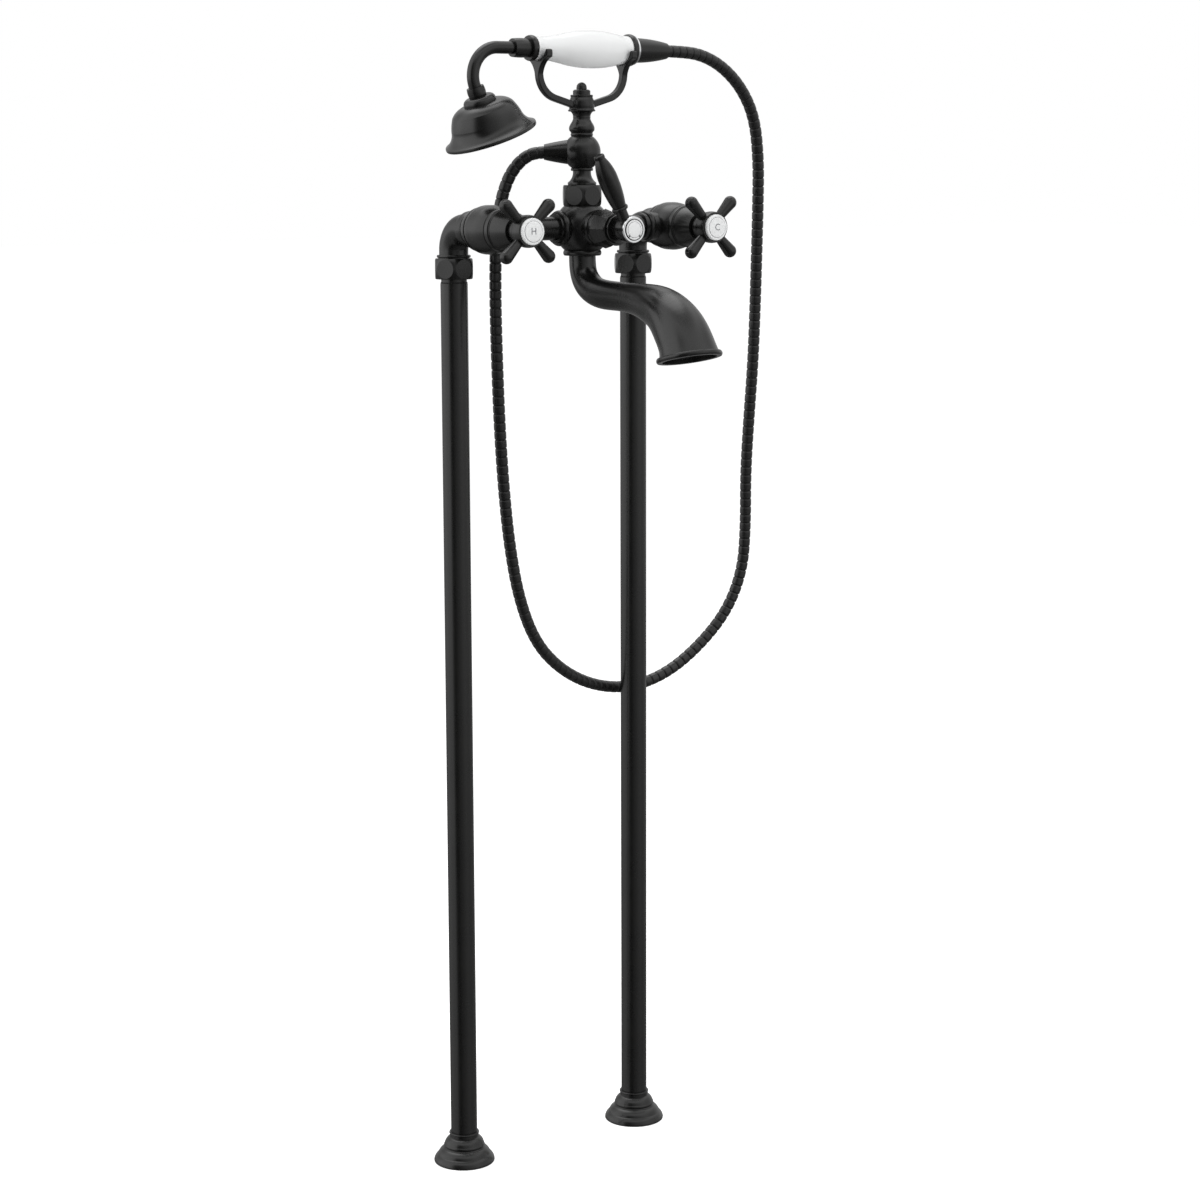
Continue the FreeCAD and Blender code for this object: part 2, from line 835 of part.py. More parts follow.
def bar_tube(side, x, outward):
    start = s.boss_length - s.bar_socket
    end = s.riser_spacing * half_share - s.valve_cavity - s.seat_gap
    return turned(f"{side}_bar_tube", [
        (s.bar_bore, start),
        (s.bar_radius, start),
        (s.bar_radius, end),
        (s.bar_bore, end),
    ], column_spot, outward)


# The middle: mixer body, spout and shower column

def mixer_body():
    lip_foot = s.boss_length - s.boss_lip_width
    bead_foot = lip_foot - s.boss_bead_width
    port_groove = s.port_length - s.port_bead_width
    port_bead = port_groove - s.port_groove
    double = s.body_half_height * 2
    middle = turned("mixer_middle", [
        (zero, zero),
        (s.body_end_radius, zero),
        (s.body_end_radius, double, s.body_radius, s.body_half_height),
        (s.spigot_radius, double),
        (s.spigot_radius, double + s.spigot_height),
        (zero, double + s.spigot_height),
    ], (zero, bar_line, body_foot))
    port = turned("mixer_port", [
        (zero, zero),
        (s.port_neck_radius, zero),
        (s.port_neck_radius, port_bead - s.port_bead_width),
        (s.port_radius, port_bead - s.port_bead_width),
        (s.port_radius, port_bead, slight_share),
        (s.port_neck_radius, port_bead),
        (s.port_neck_radius, port_groove),
        (s.port_radius, port_groove),
        (s.port_radius, s.port_length, slight_share),
        (zero, s.port_length),
    ], column_spot, forward)
    bosses = []
    sockets = []
    for side, outward in (("hot", left), ("cold", right)):
        bosses.append(turned(f"mixer_{side}_boss", [
            (zero, zero),
            (s.boss_lip_radius, zero),
            (s.boss_lip_radius, bead_foot),
            (s.boss_radius, bead_foot),
            (s.boss_radius, lip_foot, quarter_share),
            (s.boss_lip_radius, lip_foot),
            (s.boss_lip_radius, s.boss_length),
            (zero, s.boss_length),
        ], column_spot, outward))
        sockets.append(turned(f"mixer_{side}_socket", [
            (zero, zero),
            (s.body_bore, zero),
            (s.body_bore, s.boss_length - s.bar_socket),
            (s.bar_radius + s.fit_gap, s.boss_length - s.bar_socket),
            (s.bar_radius + s.fit_gap, s.boss_length + s.overrun),
            (zero, s.boss_length + s.overrun),
        ], column_spot, outward))
    spigot = s.spout_spigot + s.fit_gap
    upright = turned("mixer_upright_bore", [
        (zero, zero),
        (spigot, zero),
        (spigot, s.spout_spigot_depth + s.fit_gap),
        (s.body_bore, s.spout_spigot_depth + s.fit_gap),
        (s.body_bore, double + s.spigot_height),
        (zero, double + s.spigot_height),
    ], (zero, bar_line, body_foot))
    chamber = rod("mixer_chamber", s.diverter_bore, s.port_length - s.diverter_floor,
                  (zero, bar_line - s.diverter_floor, valve_height), forward)
    blank = joined("mixer_blank", middle, port, *bosses)
    return without("mixer_body", blank, *sockets, upright, chamber)


def spout_run(label, wall, extra):
    # A round run through the spout's sections, a wall smaller and longer at both ends if asked
    widening = s.spout_mouth - s.spout_throat
    sections = []
    for number, (ahead, down, slant, wide) in enumerate(spout_shares):
        shift = zero
        if number == 0:
            shift = -extra
        if number == len(spout_shares) - 1:
            shift = extra
        angle = math.radians(slant)
        y = bar_line - s.spout_reach * ahead - shift * math.sin(angle)
        z = spout_top - s.spout_drop * down - shift * math.cos(angle)
        sections.append(primitive("Part::Circle", f"{label}_ring_{number}", (zero, y, z),
                                  Rotation(Vector(1, 0, 0), 180 - slant),
                                  Radius=s.spout_throat + widening * wide - wall))
    run = doc.addObject("Part::Loft", label)
    run.Sections = sections
    run.Solid = True
    return run


def spout():
    slant = spout_shares[-1][2]
    mouth = (zero, bar_line - s.spout_reach, spout_top - s.spout_drop)
    lip = turned("spout_lip", [
        (s.spout_mouth - s.spout_wall, zero),
        (s.spout_lip_radius, zero),
        (s.spout_lip_radius, s.spout_lip, quarter_share),
        (s.spout_mouth - s.spout_wall, s.spout_lip),
    ], mouth, Rotation(Vector(1, 0, 0), 180 - slant))
    spigot = rod("spout_spigot", s.spout_spigot, s.collar_height + s.spout_spigot_depth,
                 (zero, bar_line, spout_top))
    bore = rod("spout_spigot_bore", s.body_bore, s.collar_height + s.spout_spigot_depth,
               (zero, bar_line, spout_top))
    blank = joined("spout_blank", spout_run("spout_outside", zero, zero), lip, spigot)
    return without("spout", blank, spout_run("spout_inside", s.spout_wall, s.overrun), bore)


def spout_collar():
    bore = s.spout_spigot + s.fit_gap
    return turned("spout_collar", [
        (bore, zero),
        (s.collar_radius, zero),
        (s.collar_radius, s.collar_height, quarter_share),
        (bore, s.collar_height),
    ], (zero, bar_line, spout_top))


def column_nut():
    cavity = s.spigot_radius + s.fit_gap
    bore = s.column_tube + s.fit_gap
    return hexagon_nut("column_nut", (zero, bar_line, body_top), [
        (cavity, zero),
        *nut_outside(),
        (bore, s.nut_height),
        (bore, s.nut_height - s.nut_lip),
        (cavity, s.nut_height - s.nut_lip),
    ])


def shower_column():
    foot = s.column_collar_height + s.nut_lip + s.column_foot_gap
    waist = foot + s.column_foot_height
    ring = waist + s.column_waist_height
    upper_ring = ball_top + s.column_ring_height
    flare = upper_ring + s.column_flare_height
    neck = flare + s.column_neck_height
    outlet_turn = Rotation(Vector(0, 0, 1), s.outlet_angle.value) * right
    ball_spot = (zero, bar_line, ball_height)
    blank = turned("column_blank", [
        (zero, zero),
        (s.spigot_radius, zero),
        (s.spigot_radius, s.column_collar_height),
        (s.column_tube, s.column_collar_height),
        (s.column_tube, foot),
        (s.column_foot_radius, foot),
        (s.column_foot_radius, waist),
        (s.column_waist_radius, ring, hollow_share),
        (s.column_ring_radius, ring),
        (s.column_ring_radius, ball_foot, quarter_share),
        (s.ball_neck_radius, ball_foot),
        (s.ball_neck_radius, ball_top, s.ball_radius, ball_foot + s.ball_half_height),
        (s.column_ring_radius, ball_top),
        (s.column_ring_radius, upper_ring, quarter_share),
        (s.column_flare_radius, flare),
        (s.column_neck_radius, neck, hollow_share),
        (s.column_head_radius, head_top, hollow_share),
        (s.peg_radius, head_top),
        (s.peg_radius, head_top + s.peg_length),
        (zero, head_top + s.peg_length),
    ], (zero, bar_line, column_foot))
    heading = math.radians(s.outlet_angle.value)
    face_spot = (s.outlet_seat * math.cos(heading), bar_line + s.outlet_seat * math.sin(heading), ball_height)
    spot_face = rod("outlet_spot_face", s.outlet_spot_radius, s.ball_radius, face_spot, outlet_turn)
    side_bore = rod("outlet_side_bore", s.outlet_bore, s.ball_radius, ball_spot, outlet_turn)
    bore = rod("column_bore", s.column_bore, ball_foot + s.ball_half_height,
               (zero, bar_line, column_foot))
    return without("shower_column", blank, spot_face, side_bore, bore)


def outlet_nut():
    end = s.outlet_seat + s.outlet_length
    cuff = end - s.hose_cuff
    clear = s.hose_radius + s.seat_gap
    return turned("outlet_nut", [
        (s.outlet_bore, s.outlet_seat),
        (s.outlet_radius, s.outlet_seat),
        (s.outlet_end_radius, end, trace_share),
        (clear, end),
        (clear, cuff),
        (s.outlet_bore, cuff),
    ], (zero, bar_line, ball_height), Rotation(Vector(0, 0, 1), s.outlet_angle.value) * right)


# The cradle and its finial

def cradle():
    bore = s.peg_radius + s.fit_gap
    rim = s.cradle_hub_height - s.cradle_rim_height
    hub = turned("cradle_hub", [
        (bore, zero),
        (s.cradle_hub_radius, zero),
        (s.cradle_hub_radius, s.cradle_rim_height, quarter_share),
        (s.cradle_hub_shoulder, s.cradle_rim_height),
        (s.cradle_hub_waist, rim, soft_share),
        (s.cradle_hub_rim, rim),
        (s.cradle_hub_rim, s.cradle_hub_height, quarter_share),
        (bore, s.cradle_hub_height),
    ], (zero, bar_line, cradle_foot))
    parts = [hub]
    for side, sign, seat in (("head", -1, s.grip_neck_radius), ("tail", 1, s.grip_end_radius)):
        parts.append(cradle_arm(side, sign))
        parts.append(fork(side, s.cradle_reach * sign, seat))
    return joined("cradle", *parts)


def cradle_arm(side, sign):
    # A flat bar that leaves the hub at a slope and bends upright into the fork
    slope = math.radians(s.cradle_arm_slope_angle.value)
    halfway = (slope + math.pi / 2) / 2
    half_thickness = s.cradle_arm_thickness * half_share
    half_width = s.cradle_arm_width * half_share
    inner = s.cradle_arm_bend - half_thickness
    outer = s.cradle_arm_bend + half_thickness
    centre = s.cradle_reach - s.cradle_arm_bend
    run = (centre + s.cradle_arm_bend * math.sin(slope) - s.cradle_arm_root) * (1 / math.cos(slope))

    def on_bend(radius, angle):
        return centre + radius * math.sin(angle), radius * -math.cos(angle)

    def at_root(radius):
        across, along = on_bend(radius, slope)
        return across - run * math.cos(slope), along - run * math.sin(slope)

    return slab(f"cradle_{side}_arm", [
        at_root(inner),
        at_root(outer),
        on_bend(outer, slope),
        (centre + outer, zero, *on_bend(outer, halfway)),
        (centre + inner, zero),
        (*on_bend(inner, slope), *on_bend(inner, halfway)),
    ], s.cradle_arm_width, (zero, bar_line + half_width * sign, handset_height - s.fork_drop + s.fork_root),
        forward if sign == 1 else Rotation(Vector(0, 0, 1), 180) * forward)


def fork(side, x, seat):
    # An upright plate with two tines and a round saddle for the grip
    middle = s.fork_half_width
    half_stem = s.cradle_arm_width * half_share
    tip = s.fork_drop - s.fork_tip_drop
    saddle = s.fork_drop - seat - s.seat_gap
    wide = middle * 2
    return slab(f"cradle_{side}_fork", [
        (middle + half_stem, zero),
        (wide, s.fork_shoulder, hollow_share),
        (wide, tip),
        (wide - s.fork_tine, tip, round_share),
        (s.fork_tine, tip, middle, saddle),
        (zero, tip, round_share),
        (zero, s.fork_shoulder),
        (middle - half_stem, zero, hollow_share),
    ], s.fork_thickness, (x - s.fork_thickness * half_share, bar_line - middle,
                          handset_height - s.fork_drop), Rotation(Vector(1, 1, 1), 120))


def finial():
    bore = s.peg_radius + s.fit_gap
    return turned("finial", [
        (bore, zero),
        (s.finial_radius, zero),
        (s.finial_radius, s.finial_edge),
        (s.finial_shoulder_radius, s.finial_disc_height, soft_share),
        (s.finial_dome_radius, s.finial_disc_height),
        (s.finial_dome_radius, s.finial_height - s.finial_dome_radius, slight_share),
        (zero, s.finial_height, quarter_share),
        (zero, s.finial_blind),
        (bore, s.finial_blind),
    ], (zero, bar_line, cradle_foot + s.cradle_hub_height))


# The diverter on the front of the mixer body

gland_foot = s.port_length + s.diverter_bonnet_length
gland_face = gland_foot + s.gland_width + s.gland_step_width + s.gland_neck_length
lever_hub_foot = gland_face + s.seat_gap
lever_hub_face = lever_hub_foot + s.lever_hub_length
lever_station = lever_hub_foot + s.lever_hub_length * half_share
lever_turn = Rotation(Vector(0, 1, 0), -s.lever_lean_angle.value)
lever_spot = (zero, bar_line - lever_station, valve_height)


def diverter_bonnet():
    # Eight facets that draw in to the nose
    middle = s.port_length + s.diverter_bonnet_length * half_share
    sections = []
    for number, (station, radius) in enumerate((
        (s.port_length, s.diverter_bonnet_radius),
        (middle, s.diverter_bonnet_middle),
        (gland_foot, s.diverter_bonnet_nose),
    )):
        ring = primitive("Part::RegularPolygon", f"diverter_facets_{number}",
                         (zero, bar_line - station, valve_height), forward, Circumradius=radius)
        ring.Polygon = 8
        sections.append(ring)
    facets = doc.addObject("Part::Loft", "diverter_facets")
    facets.Sections = sections
    facets.Solid = True
    facets.Ruled = True
    return without("diverter_bonnet", facets,
                   rod("diverter_bonnet_bore", s.spindle_radius + s.turning_gap, s.diverter_bonnet_length,
                       (zero, bar_line - s.port_length, valve_height), forward))


def diverter_gland():
    bore = s.spindle_radius + s.turning_gap
    step = gland_foot + s.gland_width
    neck = step + s.gland_step_width
    return turned("diverter_gland", [
        (bore, gland_foot),
        (s.gland_radius, gland_foot),
        (s.gland_radius, step, quarter_share),
        (s.gland_step_radius, step),
        (s.gland_step_radius, neck, quarter_share),
        (s.gland_neck_radius, neck),
        (s.gland_neck_radius, gland_face),
        (bore, gland_face),
    ], column_spot, forward)


def diverter_spool():
    land = s.diverter_bore - s.turning_gap
    start = s.diverter_floor + s.seat_gap
    end = s.port_length - s.seat_gap
    blank = turned("spool_blank", [
        (zero, start),
        (land, start),
        (land, end),
        (s.spindle_radius, end),
        (s.spindle_radius, lever_hub_face),
        (zero, lever_hub_face),
    ], column_spot, forward)
    middle = (start + end) * half_share
    port = rod("spool_port", s.spool_port, s.diverter_bore * 2,
               (zero, bar_line - middle, valve_height - s.diverter_bore))
    return without("diverter_spool", blank, port)


def lever_hub():
    bore = s.spindle_radius + s.fit_gap
    blank = turned("lever_hub_blank", [
        (bore, lever_hub_foot),
        (s.lever_hub_radius, lever_hub_foot),
        (s.lever_hub_radius, lever_hub_face, slight_share),
        (bore, lever_hub_face),
    ], column_spot, forward)
    socket = rod("lever_socket", s.lever_neck_radius + s.fit_gap, s.lever_hub_radius,
                 along_lever(s.lever_socket), lever_turn)
    return without("lever_hub", blank, socket)


def along_lever(length):
    # The spot at a length from the hub's axis along the lever
    lean = math.radians(s.lever_lean_angle.value)
    return (length * -math.sin(lean), bar_line - lever_station, valve_height + length * math.cos(lean))


def diverter_lever():
    ring_top = s.lever_ring_place + s.lever_ring_height
    tip = s.lever_top_place + s.lever_tip_height
    return turned("diverter_lever", [
        (zero, s.lever_socket),
        (s.lever_neck_radius, s.lever_socket),
        (s.lever_neck_radius, s.lever_ring_place),
        (s.lever_ring_radius, s.lever_ring_place),
        (s.lever_ring_radius, ring_top, quarter_share),
        (s.lever_foot_radius, ring_top),
        (s.lever_belly_radius, s.lever_belly_place, flat_share),
        (s.lever_top_radius, s.lever_top_place, slight_share),
        (s.lever_tip_radius, s.lever_top_place),
        (s.lever_tip_radius, tip - s.lever_tip_edge),
        (s.lever_tip_radius - s.lever_tip_edge, tip, quarter_share),
        (zero, tip),
    ], lever_spot, lever_turn)


def diverter_ring():
    seat = s.ring_radius - s.ring_wall
    return turned("diverter_ring", [
        (seat, lever_hub_face),
        (s.ring_radius, lever_hub_face),
        (s.ring_radius, lever_hub_face + s.ring_height, quarter_share),
        (seat, lever_hub_face + s.ring_height),
    ], column_spot, forward)


def diverter_button():
    edge = s.ring_radius - s.ring_wall - s.fit_gap
    face = lever_hub_face + s.diverter_button_height
    return turned("diverter_button", [
        (zero, lever_hub_face),
        (edge, lever_hub_face),
        (edge, lever_hub_face + s.ring_height),
        (edge - s.ring_height * quarter_share, face, quarter_share),
        (zero, face),
    ], column_spot, forward)


# The handset lies in the cradle along X, with its bell on the hot side

grip_length = s.grip_head + s.grip_tail
grip_spot = (-s.grip_head, bar_line, handset_height)
neck_end = s.grip_head + s.head_collar_width
bend_x = -(neck_end + s.neck_run)
bend_height = handset_height - s.neck_bend
bend_angle = math.radians(s.neck_bend_angle.value)
bell_turn = Rotation(Vector(0, 1, 0), 270 - s.neck_bend_angle.value)
bell_spot = (bend_x - s.neck_bend * math.sin(bend_angle), bar_line,
             bend_height + s.neck_bend * math.cos(bend_angle))


def grip():
    bore = s.grip_tube_radius + s.fit_gap
    end = grip_length - s.grip_end_length
    return turned("grip", [
        (bore, zero),
        (s.grip_neck_radius, zero),
        (s.grip_neck_radius, s.grip_neck_length),
        (s.grip_swell_radius, s.grip_swell_place, -trace_share),
        (s.grip_belly_radius, s.grip_belly_place, flat_share),
        (s.grip_end_radius, end, flat_share),
        (s.grip_end_radius, grip_length),
        (bore, grip_length),
    ], grip_spot, right)


def grip_tube():
    # The water way from the hose nut through the grip to the gooseneck
    start = -s.head_collar_width
    length = s.head_collar_width + grip_length + s.tail_collar_width
    return turned("grip_tube", [
        (s.grip_tube_bore, zero),
        (s.grip_tube_radius, zero),
        (s.grip_tube_radius, length),
        (s.grip_tube_bore, length),
    ], (start - s.grip_head, bar_line, handset_height), right)


def grip_collar(label, radius, width, x):
    bore = s.grip_tube_radius + s.fit_gap
    return turned(label, [
        (bore, zero),
        (radius, zero),
        (radius, width, soft_share),
        (bore, width),
    ], (x, bar_line, handset_height), right)


def head_ferrule():
    bore = s.neck_tube_radius + s.fit_gap
    return turned("head_ferrule", [
        (bore, zero),
        (s.ferrule_radius, zero),
        (s.ferrule_radius, s.ferrule_length, flat_share),
        (bore, s.ferrule_length),
    ], (-neck_end, bar_line, handset_height), left)


def head_tube():
    # The gooseneck: a run out of the grip, a bend over the top and a tail into the bell
    bend_spot = (bend_x, bar_line, bend_height)
    bend_turn = left * forward
    runs = []
    rooms = []
    for kind, radius, pile in (("skin", s.neck_tube_radius, runs), ("bore", s.neck_tube_bore, rooms)):
        bend = primitive("Part::Torus", f"head_tube_{kind}_bend", bend_spot, bend_turn,
                         Radius1=s.neck_bend, Radius2=radius)
        bend.setExpression("Angle3", s.neck_bend_angle.formula)
        pile.append(bend)
        pile.append(rod(f"head_tube_{kind}_run", radius, s.neck_run, (-neck_end, bar_line, handset_height),
                        left))
        pile.append(rod(f"head_tube_{kind}_tail", radius, s.neck_tail, bell_spot, bell_turn))
    return without("head_tube", joined("head_tube_skin", *runs), *rooms)


def neck_nut():
    bore = s.neck_tube_radius + s.fit_gap
    return turned("neck_nut", [
        (bore, s.neck_nut_start),
        (s.neck_nut_radius, s.neck_nut_start),
        (s.neck_nut_radius, s.bell_start, slight_share),
        (bore, s.bell_start),
    ], bell_spot, bell_turn)


def bell():
    wall = s.bell_thickness
    shoulder = s.bell_start + s.bell_shoulder_width
    dome = s.bell_start + s.bell_dome_height
    skirt = s.bell_start + s.bell_wall_height
    rim = s.bell_start + s.bell_rim_height
    mouth = rim + s.bell_rim_width
    seat = s.plate_radius + s.fit_gap
    ledge = mouth - s.plate_thickness - s.plate_crown
    return turned("bell", [
        (s.neck_tube_bore, s.bell_start),
        (s.bell_crown_radius, s.bell_start),
        (s.bell_shoulder_radius, s.bell_start + s.bell_shoulder_height, quarter_share),
        (s.bell_shoulder_radius, shoulder),
        (s.bell_dome_radius, dome, soft_share),
        (s.bell_wall_radius, skirt, flat_share),
        (s.bell_rim_radius, rim, hollow_share),
        (s.bell_rim_radius, mouth, soft_share),
        (seat, mouth),
        (seat, ledge),
        (s.bell_wall_radius, ledge),
        (s.bell_wall_radius - wall, skirt),
        (s.bell_dome_radius - wall, dome + wall),
        (s.neck_tube_bore, shoulder + wall),
    ], bell_spot, bell_turn)


def spray_plate():
    mouth = s.bell_start + s.bell_rim_height + s.bell_rim_width
    ledge = mouth - s.plate_thickness - s.plate_crown
    face = ledge + s.plate_thickness
    return turned("spray_plate", [
        (zero, ledge),
        (s.plate_radius, ledge),
        (s.plate_radius, face),
        (s.plate_face_radius, face + s.plate_crown),
        (zero, face + s.plate_crown),
    ], bell_spot, bell_turn)


def hose_nut():
    start = s.grip_tail + s.tail_collar_width
    cuff = s.hose_nut_length - s.hose_cuff
    clear = s.hose_radius + s.seat_gap
    return turned("hose_nut", [
        (s.grip_tube_bore, zero),
        (s.hose_nut_radius, zero),
        (s.hose_nut_end_radius, s.hose_nut_length, flat_share),
        (clear, s.hose_nut_length),
        (clear, cuff),
        (s.grip_tube_bore, cuff),
    ], (start, bar_line, handset_height), right)


# The hose: straight runs joined by tangent arcs, with ribs wound round it

def hose_stretches(points):
    # Runs and arcs in order: length, start, direction, and for an arc its inward side and radius
    spots = [Vector(*point) for point in points]
    stretches = []
    start = spots[0]
    for before, corner, after in zip(spots, spots[1:], spots[2:]):
        come = (corner - before).normalize()
        go = (after - corner).normalize()
        turn = come.getAngle(go)
        reach = reach_share * min(corner.distanceToPoint(before), corner.distanceToPoint(after))
        radius = reach / math.tan(turn / 2)
        inward = (go - come * come.dot(go)).normalize()
        first = corner - come * reach
        stretches.append((start.distanceToPoint(first), start, come, None, None))
        stretches.append((radius * turn, first, come, inward, radius))
        start = corner + go * reach
    stretches.append((start.distanceToPoint(spots[-1]), start, (spots[-1] - start).normalize(), None, None))
    return stretches


def on_hose(stretches, distance):
    # The spot and direction at a distance along the hose
    index = 0
    while index < len(stretches) - 1 and distance > stretches[index][0]:
        distance -= stretches[index][0]
        index += 1
    start, come, inward, radius = stretches[index][1:]
    if radius is None:
        return start + come * distance, come
    angle = distance / radius
    spot = start + come * (radius * math.sin(angle)) + inward * (radius * (1 - math.cos(angle)))
    return spot, come * math.cos(angle) + inward * math.sin(angle)


def hose_ring(stretches, distance, radius):
    # A circle square to the hose, its start always towards the back
    spot, direction = on_hose(stretches, distance)
    circle = Part.makeCircle(radius)
    circle.Placement = Placement(spot, Rotation(Vector(0, 1, 0), Vector(), direction, "ZXY"))
    return Part.Wire(circle)


def hose():
    stretches = hose_stretches(hose_route)
    length = sum(stretch[0] for stretch in stretches)
    radii = sorted(stretch[4] for stretch in stretches if stretch[4])
    cuff = s.hose_cuff.value
    crest = s.hose_radius.value
    groove = crest - s.hose_groove.value
    pitch = (length - cuff * 2) / rib_count
    bore = s.hose_bore.value
    outside = [hose_ring(stretches, 0, crest), hose_ring(stretches, cuff - s.hose_groove.value, crest)]
    inside = [hose_ring(stretches, 0, bore)]
    for rib in range(rib_count):
        for share, radius in zip(rib_shares, (groove, crest, crest, groove)):
            outside.append(hose_ring(stretches, cuff + (rib + share) * pitch, radius))
        inside.append(hose_ring(stretches, cuff + rib * pitch, bore))
    outside.append(hose_ring(stretches, length - cuff, groove))
    outside.append(hose_ring(stretches, length - cuff + s.hose_groove.value, crest))
    outside.append(hose_ring(stretches, length, crest))
    inside.append(hose_ring(stretches, length - cuff, bore))
    inside.append(hose_ring(stretches, length, bore))
    ribbed = Part.makeLoft(outside[::-1], True, True)
    tube = ribbed.cut(Part.makeLoft(inside[::-1], True, True)).Solids[0]
    section = math.pi * (crest ** 2 - bore ** 2)
    print(f"hose length {length:.1f}, least radii {[round(radius, 1) for radius in radii[:5]]}")
    print(f"hose volume {tube.Volume:.0f} of a plain tube's {section * length:.0f}")
    piece = doc.addObject("Part::Feature", "hose")
    piece.Shape = tube
    piece.Placement = Placement()
    return piece


# Assemble

for side, sign, inward, outward in (("hot", -1, right, left), ("cold", 1, left, right)):
    x = s.riser_spacing * (half_share * sign)
    for make in (floor_flange, riser_tube, tail_piece, seal_washer, coupling_nut, elbow, spindle, bonnet,
                 cross_handle, handle_screw, index_button):
        keep(make(side, x))
    keep(valve_body(side, x, inward))
    keep(ceramic_disc(side, "fixed_disc", x, cavity_floor, False))
    keep(ceramic_disc(side, "turning_disc", x, turning_floor, True))
    keep(bar_tube(side, x, outward))

for make in (mixer_body, spout, spout_collar, column_nut, shower_column, outlet_nut, cradle, finial,
             diverter_bonnet, diverter_gland, diverter_spool, lever_hub, diverter_lever, diverter_ring,
             diverter_button, grip, grip_tube, head_ferrule, head_tube, neck_nut, bell, spray_plate,
             hose_nut, hose):
    keep(make())
keep(grip_collar("head_collar", s.head_collar_radius, s.head_collar_width, -neck_end))
keep(grip_collar("hose_collar", s.tail_collar_rim, s.tail_collar_width, s.grip_tail))
doc.recompute()

# Every object has to be sound before anything is written
for thing in doc.Objects:
    if "Invalid" in thing.State or "Error" in thing.State:
        raise RuntimeError(f"{thing.Label} failed: {thing.State}")
for piece in pieces:
    if piece.Shape.isNull() or not piece.Shape.isValid():
        raise RuntimeError(f"{piece.Label} has no sound shape")

os.makedirs("parts", exist_ok=True)
for piece in pieces:
    piece.Shape.exportStep(f"parts/{piece.Label}.step")
print(f"{len(pieces)} pieces written")
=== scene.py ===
import json
import math

import bmesh
import bpy
from mathutils import Matrix, Vector


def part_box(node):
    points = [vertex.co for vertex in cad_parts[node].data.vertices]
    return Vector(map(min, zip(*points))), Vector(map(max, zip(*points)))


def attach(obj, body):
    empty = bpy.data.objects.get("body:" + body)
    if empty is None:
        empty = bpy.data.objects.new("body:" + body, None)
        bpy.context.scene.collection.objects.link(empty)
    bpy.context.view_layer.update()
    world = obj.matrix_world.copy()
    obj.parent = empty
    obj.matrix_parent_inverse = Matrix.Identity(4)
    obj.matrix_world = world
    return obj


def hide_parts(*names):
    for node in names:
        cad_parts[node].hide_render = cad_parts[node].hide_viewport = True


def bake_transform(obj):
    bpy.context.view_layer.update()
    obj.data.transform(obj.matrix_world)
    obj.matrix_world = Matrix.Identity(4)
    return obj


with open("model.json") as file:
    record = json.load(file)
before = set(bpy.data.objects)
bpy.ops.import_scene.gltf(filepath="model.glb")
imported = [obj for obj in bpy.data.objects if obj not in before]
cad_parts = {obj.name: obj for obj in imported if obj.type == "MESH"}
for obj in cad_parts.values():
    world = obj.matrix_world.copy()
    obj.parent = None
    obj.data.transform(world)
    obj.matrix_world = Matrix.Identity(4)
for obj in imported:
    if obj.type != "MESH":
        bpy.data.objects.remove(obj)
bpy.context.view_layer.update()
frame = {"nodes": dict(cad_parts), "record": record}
nodes = frame["nodes"]
scene = bpy.context.scene
mm = 0.001
weldMm = 0.0005  # points nearer than this are one point


def linear(hexColour):  # sRGB hex to the linear values that the sockets take
    parts = [int(hexColour[i:i + 2], 16) / 255 for i in (1, 3, 5)]
    return tuple(c / 12.92 if c <= 0.04045 else ((c + 0.055) / 1.055) ** 2.4 for c in parts) + (1.0,)


def addNode(tree, kind, inputs=None, **settings):
    node = tree.nodes.new(kind)
    for name, value in settings.items():
        setattr(node, name, value)
    for name, value in (inputs or {}).items():
        socket = node.inputs[name]
        if isinstance(value, bpy.types.NodeSocket):
            tree.links.new(value, socket)
        else:
            socket.default_value = value
    return node


def drawCurve(mapping, spots):
    # straight lines from spot to spot, the first and the last of them at the ends of the curve
    curve = mapping.curves[0]
    curve.points[0].location, curve.points[1].location = spots[0], spots[-1]
    for spot in spots[1:-1]:
        curve.points.new(*spot)
    for point in curve.points:
        point.handle_type = "VECTOR"
    mapping.update()


def newMaterial(name):
    # an empty material, and the coordinates that its patterns follow
    material = bpy.data.materials.new(name)
    material.use_nodes = True
    tree = material.node_tree
    tree.nodes.clear()
    place = addNode(tree, "ShaderNodeTexCoord").outputs["Object"]
    return material, tree, place


def newObject(name, data):
    thing = bpy.data.objects.new(name, data)
    scene.collection.objects.link(thing)
    return thing


def newPiece(name, mesh, material):
    piece = newObject(name, mesh)
    piece.data.materials.clear()
    piece.data.materials.append(material)
    return piece


def plainMesh(thing):
    # the shape of an object, with its modifiers applied
    bpy.context.view_layer.update()
    return bpy.data.meshes.new_from_object(thing.evaluated_get(bpy.context.evaluated_depsgraph_get()))


def middleOf(node):
    low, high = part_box(node)
    return (low + high) / 2


# Finishes

white = linear("#ffffff")
noiseSpan = {"From Min": 0.3, "From Max": 0.7}  # nearly all of a noise pattern lies between these

lacquer = {
    "dark": "#101010", "pale": "#151514",  # the black drifts a little over a casting
    "cloudMm": 34.0, "cloudDetail": 3.0, "cloudRough": 0.55,
    "grainMm": 0.9, "grainDetail": 2.0,  # spray grain is nearer 0.2 mm, drawn coarser so that it shows
    "grainDepth": 0.01, "bumpMm": 0.2, "roughLow": 0.24, "roughHigh": 0.31,
}


